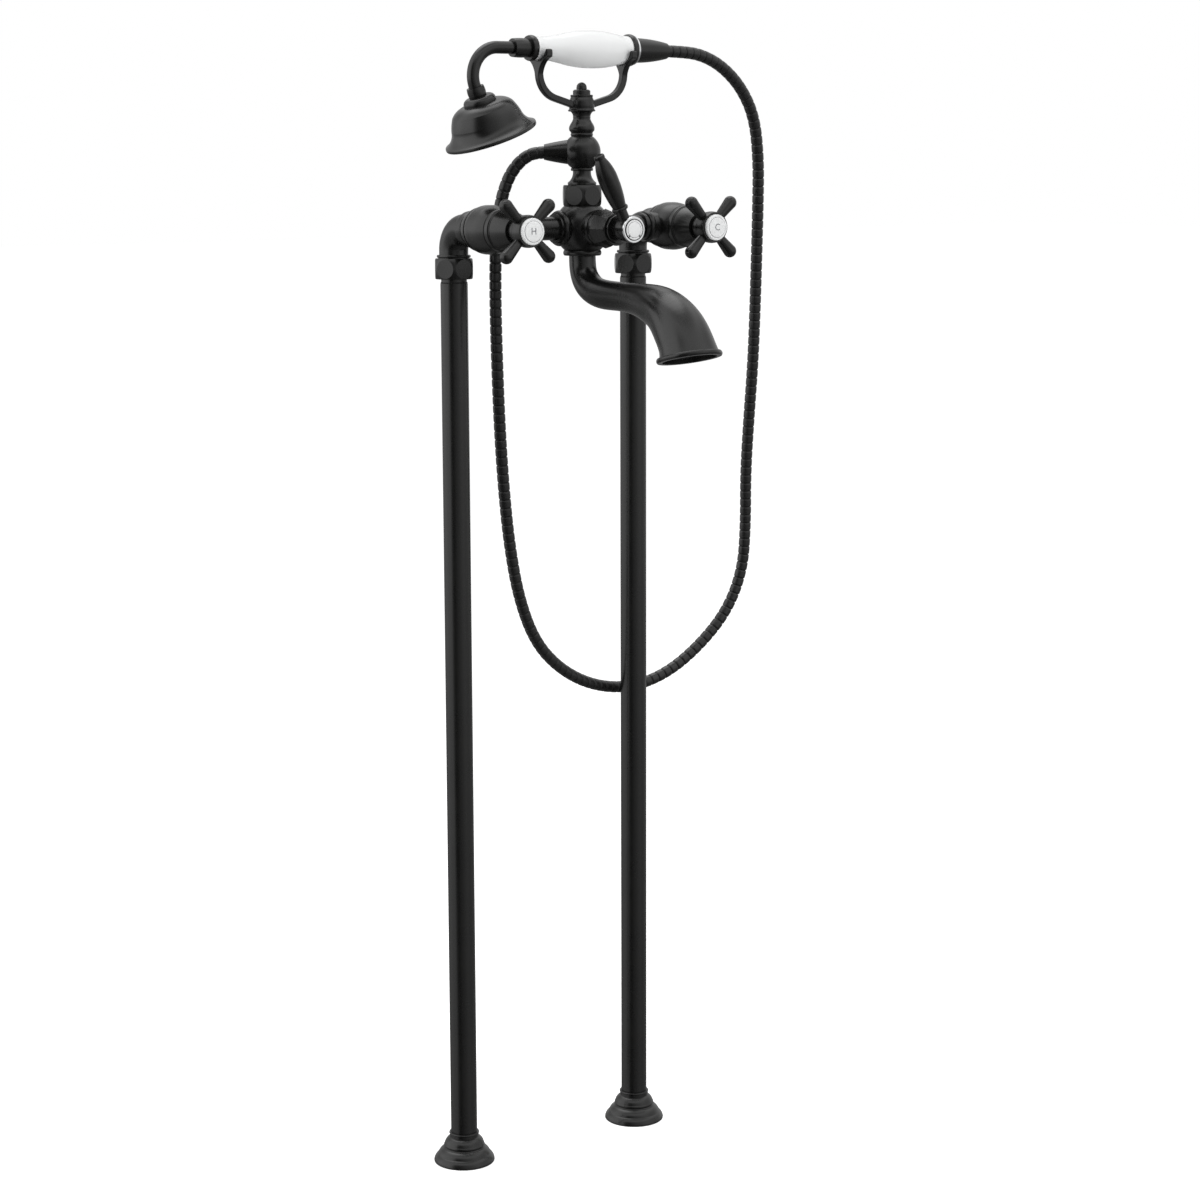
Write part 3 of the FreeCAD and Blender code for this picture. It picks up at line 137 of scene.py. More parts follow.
def satinLacquer(name, spec):
    # black satin lacquer sprayed over cast and turned brass: soft broad highlights, a faint grain
    material, tree, place = newMaterial(name)
    cloud = addNode(tree, "ShaderNodeTexNoise", {
        "Vector": place, "Scale": 1 / (spec["cloudMm"] * mm), "Detail": spec["cloudDetail"],
        "Roughness": spec["cloudRough"]})
    grain = addNode(tree, "ShaderNodeTexNoise", {
        "Vector": place, "Scale": 1 / (spec["grainMm"] * mm), "Detail": spec["grainDetail"]})
    tint = addNode(tree, "ShaderNodeMix", {
        "Factor": cloud.outputs["Fac"], "A": linear(spec["dark"]), "B": linear(spec["pale"])},
        data_type="RGBA")
    rough = addNode(tree, "ShaderNodeMapRange", {
        "Value": cloud.outputs["Fac"], **noiseSpan, "To Min": spec["roughLow"], "To Max": spec["roughHigh"]})
    bump = addNode(tree, "ShaderNodeBump", {
        "Height": grain.outputs["Fac"], "Strength": spec["grainDepth"], "Distance": spec["bumpMm"] * mm})
    shader = addNode(tree, "ShaderNodeBsdfPrincipled", {
        "Base Color": tint.outputs["Result"], "Roughness": rough.outputs["Result"],
        "Normal": bump.outputs["Normal"]})
    addNode(tree, "ShaderNodeOutputMaterial", {"Surface": shader.outputs[0]})
    return material


# crest is the lacquer's black; groove is a darker colour painted into the hollows between windings as painted
# shade
hoseMetal = {"crest": "#191919", "groove": "#050505", "wearMm": 2.4, "wearDetail": 2.0,
             "roughLow": 0.28, "roughHigh": 0.36, "grooveRough": 0.75}


def lacqueredHose(name, spec):
    # wound brass strip, lacquered black: the grooves between the windings stay dull, and are coloured darker
    # as painted shade
    material, tree, place = newMaterial(name)
    groove = addNode(tree, "ShaderNodeAttribute", attribute_name="groove").outputs["Fac"]
    wear = addNode(tree, "ShaderNodeTexNoise", {
        "Vector": place, "Scale": 1 / (spec["wearMm"] * mm), "Detail": spec["wearDetail"]})
    tint = addNode(tree, "ShaderNodeMix", {
        "Factor": groove, "A": linear(spec["crest"]), "B": linear(spec["groove"])}, data_type="RGBA")
    rough = addNode(tree, "ShaderNodeMapRange", {
        "Value": wear.outputs["Fac"], **noiseSpan, "To Min": spec["roughLow"], "To Max": spec["roughHigh"]})
    dull = addNode(tree, "ShaderNodeMix", {
        "Factor": groove, "A": rough.outputs["Result"], "B": spec["grooveRough"]})
    shader = addNode(tree, "ShaderNodeBsdfPrincipled", {
        "Base Color": tint.outputs["Result"], "Roughness": dull.outputs["Result"]})
    addNode(tree, "ShaderNodeOutputMaterial", {"Surface": shader.outputs[0]})
    return material


glaze = {"body": "#e9eaea", "thin": "#e1e2e2", "poolMm": 22.0, "poolDetail": 2.0, "rippleMm": 6.0,
         "rippleDetail": 1.0, "rippleDepth": 0.04, "bumpMm": 0.3, "roughLow": 0.1, "roughHigh": 0.17,
         "ior": 1.52}


def glazedPorcelain(name, spec):
    # slip-cast porcelain under clear glaze: white, glassy, faintly uneven where the glaze pooled
    material, tree, place = newMaterial(name)
    pool = addNode(tree, "ShaderNodeTexNoise", {
        "Vector": place, "Scale": 1 / (spec["poolMm"] * mm), "Detail": spec["poolDetail"]})
    ripple = addNode(tree, "ShaderNodeTexNoise", {
        "Vector": place, "Scale": 1 / (spec["rippleMm"] * mm), "Detail": spec["rippleDetail"]})
    tint = addNode(tree, "ShaderNodeMix", {
        "Factor": pool.outputs["Fac"], "A": linear(spec["thin"]), "B": linear(spec["body"])},
        data_type="RGBA")
    rough = addNode(tree, "ShaderNodeMapRange", {
        "Value": pool.outputs["Fac"], **noiseSpan, "To Min": spec["roughLow"], "To Max": spec["roughHigh"]})
    bump = addNode(tree, "ShaderNodeBump", {
        "Height": ripple.outputs["Fac"], "Strength": spec["rippleDepth"], "Distance": spec["bumpMm"] * mm})
    shader = addNode(tree, "ShaderNodeBsdfPrincipled", {
        "Base Color": tint.outputs["Result"], "IOR": spec["ior"], "Roughness": rough.outputs["Result"],
        "Normal": bump.outputs["Normal"]})
    addNode(tree, "ShaderNodeOutputMaterial", {"Surface": shader.outputs[0]})
    return material


markSpec = {"detail": 3.0, "bumpMm": 0.1}
metals = {
    # plated and buffed to a mirror
    "polishedChrome": {"colour": "#e8e9ea", "worn": "#dcddde", "markMm": (1.2, 1.2, 1.2),
                       "rough": (0.05, 0.1), "depth": 0.01},
    # turned on a lathe: lines round the axis, 0.15 mm apart in truth, drawn wider so that they show
    "turnedBrass": {"colour": "#c9a55c", "worn": "#b08c45", "markMm": (0.6, 40.0, 40.0),
                    "rough": (0.22, 0.34), "depth": 0.05},
    "turnedSteel": {"colour": "#b9babb", "worn": "#a3a4a6", "markMm": (40.0, 0.6, 40.0),
                    "rough": (0.24, 0.36), "depth": 0.05},
}


def bareMetal(name, spec):
    # bare metal: its marks run as it was worked, and its shine changes with them
    material, tree, place = newMaterial(name)
    scale = tuple(1 / (size * mm) for size in spec["markMm"])
    worked = addNode(tree, "ShaderNodeMapping", {"Vector": place, "Scale": scale})
    marks = addNode(tree, "ShaderNodeTexNoise", {
        "Vector": worked.outputs["Vector"], "Scale": 1.0, "Detail": markSpec["detail"]})
    tint = addNode(tree, "ShaderNodeMix", {
        "Factor": marks.outputs["Fac"], "A": linear(spec["colour"]), "B": linear(spec["worn"])},
        data_type="RGBA")
    rough = addNode(tree, "ShaderNodeMapRange", {
        "Value": marks.outputs["Fac"], **noiseSpan, "To Min": spec["rough"][0], "To Max": spec["rough"][1]})
    bump = addNode(tree, "ShaderNodeBump", {
        "Height": marks.outputs["Fac"], "Strength": spec["depth"], "Distance": markSpec["bumpMm"] * mm})
    shader = addNode(tree, "ShaderNodeBsdfPrincipled", {
        "Base Color": tint.outputs["Result"], "Metallic": 1.0, "Roughness": rough.outputs["Result"],
        "Normal": bump.outputs["Normal"]})
    addNode(tree, "ShaderNodeOutputMaterial", {"Surface": shader.outputs[0]})
    return material


grainSpec = {"detail": 3.0, "bumpMm": 0.2}
dulls = {
    # alumina discs, pressed, fired and lapped flat
    "lappedAlumina": {"colour": "#dad7cf", "speck": "#c6c2b8", "grainMm": 1.2, "rough": (0.3, 0.42),
                      "depth": 0.02},
    # seals and washers moulded in black rubber
    "mouldedRubber": {"colour": "#161616", "speck": "#1f1f1f", "grainMm": 1.5, "rough": (0.6, 0.78),
                      "depth": 0.12},
    # spray nozzles moulded in soft grey silicone
    "mouldedSilicone": {"colour": "#3a3b3c", "speck": "#424344", "grainMm": 0.8, "rough": (0.5, 0.62),
                        "depth": 0.05},
    # letters and arrowheads fired into the glaze; the grey also draws the line round each button disc, which
    # is painted shade at the disc's foot
    "firedGreyPrintAndShadeLine": {"colour": "#77777a", "speck": "#85858a", "grainMm": 0.5, "rough": (0.25, 0.35),
                        "depth": 0.02},
    "firedBlackEnamel": {"colour": "#0d0d0d", "speck": "#151515", "grainMm": 0.5, "rough": (0.25, 0.35),
                         "depth": 0.02},
}


def grainyDull(name, spec):
    # a dense, fine-grained body: small specks of tone, shine broken up by the grain
    material, tree, place = newMaterial(name)
    grain = addNode(tree, "ShaderNodeTexNoise", {
        "Vector": place, "Scale": 1 / (spec["grainMm"] * mm), "Detail": grainSpec["detail"]})
    tint = addNode(tree, "ShaderNodeMix", {
        "Factor": grain.outputs["Fac"], "A": linear(spec["colour"]), "B": linear(spec["speck"])},
        data_type="RGBA")
    rough = addNode(tree, "ShaderNodeMapRange", {
        "Value": grain.outputs["Fac"], **noiseSpan, "To Min": spec["rough"][0], "To Max": spec["rough"][1]})
    bump = addNode(tree, "ShaderNodeBump", {
        "Height": grain.outputs["Fac"], "Strength": spec["depth"], "Distance": grainSpec["bumpMm"] * mm})
    shader = addNode(tree, "ShaderNodeBsdfPrincipled", {
        "Base Color": tint.outputs["Result"], "Roughness": rough.outputs["Result"],
        "Normal": bump.outputs["Normal"]})
    addNode(tree, "ShaderNodeOutputMaterial", {"Surface": shader.outputs[0]})
    return material


satinBlack = satinLacquer("satinBlackLacquer", lacquer)
hoseBlack = lacqueredHose("lacqueredHoseBrass", hoseMetal)
porcelain = glazedPorcelain("glazedPorcelain", glaze)
chrome, brass, steel = [bareMetal(name, spec) for name, spec in metals.items()]
alumina, rubber, silicone, greyPrintAndShade, blackEnamel = [grainyDull(name, spec) for name, spec in dulls.items()]
slotFinish = {"black": satinBlack, "hose": hoseBlack, "porcelain": porcelain, "chrome": chrome,
              "brass": brass, "steel": steel, "disc": alumina, "seal": rubber}
for part in frame["record"]["subparts"]:
    mesh = nodes[part["node"]].data
    mesh.materials.clear()
    mesh.materials.append(slotFinish[part["material_slot"]])
print(f"{len(bpy.data.materials)} finishes made, {len(nodes)} solids coated")


# Node trees, grown into plain meshes

def newTree(name, inputs):
    # an empty tree with its named inputs
    tree = bpy.data.node_groups.new(name, "GeometryNodeTree")
    tree.interface.new_socket("Geometry", in_out="OUTPUT", socket_type="NodeSocketGeometry")
    for label, kind in {"Geometry": "Geometry", **inputs, "Material": "Material"}.items():
        tree.interface.new_socket(label, in_out="INPUT", socket_type=f"NodeSocket{kind}")
    return tree, addNode(tree, "NodeGroupInput").outputs


def endTree(tree, shape, material):
    real = addNode(tree, "GeometryNodeRealizeInstances", {"Geometry": shape})
    coated = addNode(tree, "GeometryNodeSetMaterial", {
        "Geometry": real.outputs["Geometry"], "Material": material})
    addNode(tree, "NodeGroupOutput", {"Geometry": coated.outputs["Geometry"]})


def grown(name, mesh, tree, sizes, material):
    # run a tree on a mesh and keep the result as a plain mesh
    piece = newPiece(name, mesh, material)
    modifier = piece.modifiers.new("grow", "NODES")
    modifier.node_group = tree
    values = {**sizes, "Material": material}
    for item in tree.interface.items_tree:
        if item.in_out == "INPUT" and item.name in values:
            modifier[item.identifier] = values[item.name]
    result = plainMesh(piece)
    piece.modifiers.remove(modifier)
    piece.data = result
    result.name = name
    return piece


# Hose

hoseSpec = {
    "route": [  # the same points as the hose of the part, in millimetres
        (-19.17, -47.78, 968.0), (-34.0, -37.4, 968.0), (-42.6, -31.4, 963.6), (-50.0, -26.2, 955.2),
        (-56.4, -21.8, 942.5), (-62.0, -18.0, 921.0), (-65.6, -15.6, 886.0), (-65.0, -13.0, 836.0),
        (-61.5, -9.5, 778.0), (-56.5, -5.0, 718.0), (-49.5, 0.0, 658.0), (-40.5, 4.5, 600.0),
        (-27.5, 8.5, 546.0), (-6.0, 13.0, 500.0), (28.0, 18.5, 468.0), (71.0, 24.0, 446.5),
        (118.0, 26.5, 439.0), (162.0, 25.5, 449.0), (202.0, 23.5, 474.0), (234.5, 20.5, 507.0),
        (251.0, 17.0, 548.0), (250.5, 12.0, 595.0), (245.5, 6.0, 650.0), (243.5, -1.5, 706.0),
        (242.3, -9.0, 762.0), (239.0, -16.0, 816.0), (235.0, -23.0, 868.0), (231.5, -29.0, 916.0),
        (227.5, -34.5, 960.0), (217.5, -40.5, 1000.0), (198.0, -45.5, 1027.5), (171.0, -51.5, 1047.0),
        (141.0, -57.5, 1058.0), (112.0, -61.2, 1060.5), (83.8, -61.2, 1060.5)],
    "order": 3, "resolution": 16,
    "ribs": 174, "stepsPerRib": 16, "sides": 20, "crest": 5.7, "groove": 1.2,
    # share of the groove's depth across a rib, from one groove to the next
    "ribShape": ((0.0, 1.0), (0.0625, 0.36), (0.125, 0.1), (0.19, 0.02), (0.5, 0.0),
                 (0.81, 0.02), (0.875, 0.1), (0.9375, 0.36), (1.0, 1.0)),
    "tightRibs": 14, "tightShare": 0.3,  # by the outlet the links are pushed together
    "bendStart": (58.0, 0.0, 452.0), "bendEnd": (175.0, 0.0, 470.0),
}


def hoseLine(spec):
    curve = bpy.data.curves.new("hoseLine", "CURVE")
    curve.dimensions = "3D"
    spline = curve.splines.new("NURBS")
    spline.points.add(len(spec["route"]) - 1)
    for point, spot in zip(spline.points, spec["route"]):
        point.co = (*[v * mm for v in spot], 1.0)
    spline.order_u = spec["order"]
    spline.use_endpoint_u = True
    spline.resolution_u = spec["resolution"]
    holder = newObject("hoseLine", curve)
    line = plainMesh(holder)
    bpy.data.objects.remove(holder)
    return line


def ribbedTubeTree(ribShape):
    # a tube along the line, drawn in at each rib's groove
    tree, given = newTree("ribbedTube", {
        "Ribs": "Int", "Steps": "Int", "Sides": "Int", "Crest": "Float", "Groove": "Float",
        "Tight Ribs": "Int", "Tight Share": "Float"})
    line = addNode(tree, "GeometryNodeMeshToCurve", {"Mesh": given["Geometry"]})
    count = addNode(tree, "ShaderNodeMath", {0: given["Ribs"], 1: given["Steps"]}, operation="MULTIPLY")
    ends = addNode(tree, "ShaderNodeMath", {0: count.outputs[0], 1: 1.0}, operation="ADD")
    even = addNode(tree, "GeometryNodeResampleCurve", {
        "Curve": line.outputs["Curve"], "Count": ends.outputs[0]})
    index = addNode(tree, "GeometryNodeInputIndex")
    step = addNode(tree, "ShaderNodeMath", {0: index.outputs[0], 1: given["Steps"]}, operation="MODULO")
    phase = addNode(tree, "ShaderNodeMath", {0: step.outputs[0], 1: given["Steps"]}, operation="DIVIDE")
    shape = addNode(tree, "ShaderNodeFloatCurve", {"Value": phase.outputs[0]})
    drawCurve(shape.mapping, ribShape)
    tightEnd = addNode(tree, "ShaderNodeMath", {0: given["Tight Ribs"], 1: given["Steps"]},
                       operation="MULTIPLY")
    opened = addNode(tree, "ShaderNodeMapRange", {
        "Value": index.outputs[0], "From Max": tightEnd.outputs[0], "To Min": given["Tight Share"]})
    deep = addNode(tree, "ShaderNodeMath", {0: given["Groove"], 1: opened.outputs["Result"]},
                   operation="MULTIPLY")
    drawn = addNode(tree, "ShaderNodeMath", {0: shape.outputs[0], 1: deep.outputs[0]}, operation="MULTIPLY")
    radius = addNode(tree, "ShaderNodeMath", {0: given["Crest"], 1: drawn.outputs[0]}, operation="SUBTRACT")
    # the groove share, kept for the finish: it dulls the grooves and paints shade into them
    marked = addNode(tree, "GeometryNodeStoreNamedAttribute", {
        "Geometry": even.outputs["Curve"], "Name": "groove", "Value": shape.outputs[0]}, data_type="FLOAT")
    ring = addNode(tree, "GeometryNodeCurvePrimitiveCircle", {"Resolution": given["Sides"], "Radius": 1.0})
    tube = addNode(tree, "GeometryNodeCurveToMesh", {
        "Curve": marked.outputs["Geometry"], "Profile Curve": ring.outputs["Curve"],
        "Scale": radius.outputs[0], "Fill Caps": True})
    smooth = addNode(tree, "GeometryNodeSetShadeSmooth", {"Geometry": tube.outputs["Mesh"]})
    endTree(tree, smooth.outputs["Geometry"], given["Material"])
    return tree


line = hoseLine(hoseSpec)
hose = grown("ribbedHose", line, ribbedTubeTree(hoseSpec["ribShape"]), {
    "Ribs": hoseSpec["ribs"], "Steps": hoseSpec["stepsPerRib"], "Sides": hoseSpec["sides"],
    "Crest": hoseSpec["crest"] * mm, "Groove": hoseSpec["groove"] * mm, "Tight Ribs": hoseSpec["tightRibs"],
    "Tight Share": hoseSpec["tightShare"]}, hoseBlack)
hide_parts("hose")
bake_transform(hose)


# Fine turned pieces

def turnedMesh(name, profile, place, steps=64):
    # spin a profile of (radius, height) in millimetres about Z, then put it in its place
    shape = bmesh.new()
    turns = [2 * math.pi * i / steps for i in range(steps)]
    rings = []
    for radius, height in profile:
        spots = turns if radius else turns[:1]  # on the axis, one point does
        rings.append([shape.verts.new((radius * mm * math.cos(a), radius * mm * math.sin(a), height * mm))
                      for a in spots])
    for low, high in zip(rings, rings[1:]):
        for i in range(steps):
            j = (i + 1) % steps
            corners = [low[i % len(low)], low[j % len(low)], high[j % len(high)], high[i % len(high)]]
            shape.faces.new(list(dict.fromkeys(corners)))
    # a closed profile ends where it starts
    bmesh.ops.remove_doubles(shape, verts=shape.verts, dist=weldMm * mm)
    bmesh.ops.recalc_face_normals(shape, faces=shape.faces)
    for face in shape.faces:
        face.smooth = True
    mesh = bpy.data.meshes.new(name)
    shape.to_mesh(mesh)
    shape.free()
    mesh.transform(place)
    return mesh


def roundWire(radius, wire, sides=10):
    # a closed round profile, for a thin ring
    turns = [2 * math.pi * i / sides for i in range(sides)]
    return [(radius + wire * math.cos(a), wire * math.sin(a)) for a in turns + turns[:1]]


def squareRing(bore, radius, thick):
    return [(bore, 0.0), (radius, 0.0), (radius, thick), (bore, thick), (bore, 0.0)]


def facing(spot):
    # a place whose own +Z looks forward, along -Y
    return Matrix.Translation(spot) @ Matrix.Rotation(math.pi / 2, 4, "X")


def frontOf(node):
    # the middle of a node's front face
    middle = middleOf(node)
    return Vector((middle.x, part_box(node)[0].y, middle.z))


def addDetail(name, mesh, material, body):
    piece = newPiece(name, mesh, material)
    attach(piece, body)
    return piece


# Buttons

indexSpec = {"discRadius": 9.2, "discRise": 0.45, "discEdge": 0.4, "sink": 0.2, "wire": 0.16,
             "letterTall": 6.0, "letterThick": 0.3, "capitalShare": 0.7}  # capital's height by font size
diverterSpec = {"discRadius": 7.0, "discRise": 0.3, "discEdge": 0.25, "sink": 0.2, "wire": 0.16,
                "sealRadius": 9.4, "sealWire": 0.4, "arrowRadius": 8.0, "arrowLong": 2.4, "arrowWide": 0.85,
                "arrowThick": 0.16, "arrowSink": 0.1, "arrowTurns": (-138.0, -42.0)}


def raisedDisc(spec, steps=5):
    # a low disc with a rounded rim, closed underneath
    radius, rise, edge = spec["discRadius"], spec["discRise"], spec["discEdge"]
    turns = [math.pi / 2 * i / steps for i in range(steps + 1)]
    rim = [(radius - edge + edge * math.sin(a), rise - edge + edge * math.cos(a)) for a in turns]
    return [(0.0, rise)] + rim + [(radius, -spec["sink"]), (0.0, -spec["sink"])]


def buttonFace(word, spec, spot, body):
    # a porcelain disc on the button, with a thin grey line round its foot: painted shade where the disc meets
    # the button
    disc = turnedMesh("buttonDisc", raisedDisc(spec), facing(spot))
    addDetail(f"{word}ButtonDisc", disc, porcelain, body)
    # the grey line: painted shade in the crease at the disc's foot
    wire = roundWire(spec["discRadius"] + spec["wire"], spec["wire"])
    line = turnedMesh("buttonShadeLine", wire, facing(spot))
    addDetail(f"{word}ButtonShadeLine", line, greyPrintAndShade, body)


def letterMesh(letter, spec, place):
    font = bpy.data.curves.new("letter", "FONT")
    font.body = letter
    font.size = spec["letterTall"] * mm / spec["capitalShare"]
    font.extrude = spec["letterThick"] * mm / 2
    font.align_x = "CENTER"
    font.align_y = "CENTER"
    holder = newObject("letter", font)
    mesh = plainMesh(holder)
    bpy.data.objects.remove(holder)
    mesh.transform(place)
    return mesh


def arrowMesh(spec, place):
    # two flat arrowheads that point round the button, away from its foot
    shape = bmesh.new()
    for turn in spec["arrowTurns"]:
        angle = math.radians(turn)
        out = Vector((math.cos(angle), math.sin(angle), 0))
        along = Vector((-out.y, out.x, 0)) * (1 if out.x > 0 else -1)
        middle = out * spec["arrowRadius"]
        half = along * spec["arrowLong"] / 2
        wide = out * spec["arrowWide"]
        corners = [middle + half, middle - half + wide, middle - half - wide]
        layers = [[shape.verts.new((corner + Vector((0, 0, height))) * mm) for corner in corners]
                  for height in (-spec["arrowSink"], spec["arrowThick"])]
        for layer in layers:
            shape.faces.new(layer)
        for i in range(len(corners)):
            j = (i + 1) % len(corners)
            shape.faces.new([layers[0][i], layers[0][j], layers[1][j], layers[1][i]])
    bmesh.ops.recalc_face_normals(shape, faces=shape.faces)
    mesh = bpy.data.meshes.new("arrowheads")
    shape.to_mesh(mesh)
    shape.free()
    mesh.transform(place)
    return mesh


for word, letter in (("hot", "H"), ("cold", "C")):
    body = f"{word}_handle"
    spot = frontOf(f"{word}_index_button")
    buttonFace(word, indexSpec, spot, body)
    discTop = spot - Vector((0, indexSpec["discRise"] * mm, 0))
    mark = letterMesh(letter, indexSpec, facing(discTop))
    addDetail(f"{word}ButtonMark", mark, greyPrintAndShade, body)

spot = frontOf("diverter_button")
buttonFace("diverter", diverterSpec, spot, "diverter")
seal = roundWire(diverterSpec["sealRadius"], diverterSpec["sealWire"])
addDetail("diverterButtonSeal", turnedMesh("diverterSeal", seal, facing(spot)), rubber, "diverter")
addDetail("diverterArrowheads", arrowMesh(diverterSpec, facing(spot)), blackEnamel, "diverter")
print("buttons and their marks made")


# Beads, seals and bands

highlightBandSpec = {"wide": 2.6, "bore": 11.25, "crown": 13.3, "edge": 12.9, "easeShare": 0.2}


def collarHighlightBand(spec):
    # a plated band on the hose nut, against the collar of the grip: its bright chrome is a painted highlight
    # along the collar's edge
    ease = spec["wide"] * spec["easeShare"]
    bore, edge, crown, wide = [spec[name] for name in ("bore", "edge", "crown", "wide")]
    profile = [(bore, 0.0), (edge, 0.0), (crown, ease), (crown, wide - ease), (edge, wide), (bore, wide),
               (bore, 0.0)]
    spot = middleOf("hose_collar")
    spot.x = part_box("hose_collar")[1].x
    return turnedMesh("collarHighlightBand", profile, Matrix.Translation(spot) @ Matrix.Rotation(math.pi / 2, 4, "Y"))


# bright chrome band as painted highlight on the collar's rim
addDetail("hoseCollarHighlightBand", collarHighlightBand(highlightBandSpec), chrome, "handset")

trimSpec = {
    # bead on the neck of the flange, round the riser
    "collar": {"radius": 13.75, "wire": 0.9, "belowTop": 1.2},
    # turned lip between the two bells of the flange
    "lip": {"radius": 20.0, "wire": 0.55, "aboveFoot": 14.2},
    # black rubber ring where the tail enters the riser, put in the groove there as painted shade
    "neckShadeRing": {"radius": 11.95, "wire": 0.55, "aboveRiser": 0.75},
    # second bead, on the rim of the bonnet
    "bonnetBead": {"radius": 18.45, "wire": 0.5, "aheadOfValve": 1.4},
    # between the column nut and the foot of the column
    "washer": {"bore": 9.0, "radius": 12.9, "thick": 0.6},
}


def trimRing(name, ring, place, material):
    addDetail(name, turnedMesh(name, roundWire(ring["radius"], ring["wire"]), place), material, "stand")


collar, lip, neckShadeRing, bead = [trimSpec[name] for name in ("collar", "lip", "neckShadeRing", "bonnetBead")]
for word in ("hot", "cold"):
    flangeFoot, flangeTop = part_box(f"{word}_floor_flange")
    axis = (flangeFoot + flangeTop) / 2
    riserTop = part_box(f"{word}_riser_tube")[1]
    rimSpot = Vector((axis.x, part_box(f"{word}_valve_body")[0].y - bead["aheadOfValve"] * mm,
                      middleOf(f"{word}_bonnet").z))
    collarSpot = Vector((axis.x, axis.y, flangeTop.z - collar["belowTop"] * mm))
    lipSpot = Vector((axis.x, axis.y, flangeFoot.z + lip["aboveFoot"] * mm))
    sealSpot = Vector((axis.x, axis.y, riserTop.z + neckShadeRing["aboveRiser"] * mm))
    trimRing(f"{word}FlangeCollar", collar, Matrix.Translation(collarSpot), satinBlack)
    trimRing(f"{word}FlangeLip", lip, Matrix.Translation(lipSpot), satinBlack)
    # a dark ring as painted shade in the groove at the riser's top
    trimRing(f"{word}NeckShadeRing", neckShadeRing, Matrix.Translation(sealSpot), rubber)
    trimRing(f"{word}BonnetBead", bead, facing(rimSpot), satinBlack)

washer = trimSpec["washer"]
columnAxis = middleOf("column_nut")
washerSpot = Vector((columnAxis.x, columnAxis.y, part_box("column_nut")[1].z))
washerEdge = squareRing(washer["bore"], washer["radius"], washer["thick"])
addDetail("columnFootWasher", turnedMesh("columnFootWasher", washerEdge, Matrix.Translation(washerSpot)),
          rubber, "stand")

vaseSpec = {"bore": 7.0, "foot": 10.4, "bulge": 11.8, "neck": 7.9, "under": 2.6, "tall": 10.0,
            "belowTop": 33.0, "underSteps": 6, "shoulderSteps": 14}


def columnVase(spec):
    # the turned swell between the ball and the cradle: a quarter round below, a long soft shoulder above
    bore, foot, bulge, neck = [spec[name] for name in ("bore", "foot", "bulge", "neck")]
    turns = [math.pi / 2 * (i / spec["underSteps"] - 1) for i in range(spec["underSteps"])]
    below = [(foot + (bulge - foot) * math.cos(a), spec["under"] * math.sin(a)) for a in turns]
    shares = [i / spec["shoulderSteps"] for i in range(spec["shoulderSteps"] + 1)]
    above = [(neck + (bulge - neck) * (1 + math.cos(math.pi * t)) / 2, spec["tall"] * t) for t in shares]
    profile = [(bore, -spec["under"])] + below + above + [(bore, spec["tall"]), (bore, -spec["under"])]
    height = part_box("shower_column")[1].z - spec["belowTop"] * mm
    return turnedMesh("columnVase", profile, Matrix.Translation((columnAxis.x, columnAxis.y, height)))


addDetail("columnVase", columnVase(vaseSpec), satinBlack, "stand")
print("beads, seals and bands made")


# Spray nozzles

spraySpec = {"lean": 159.0, "toFace": 2.8,  # from the middle of the spray plate to its face
             "sink": 0.2, "count": 91, "pitch": 5.6, "foot": 1.15, "tip": 0.75, "tall": 1.5, "sides": 12}


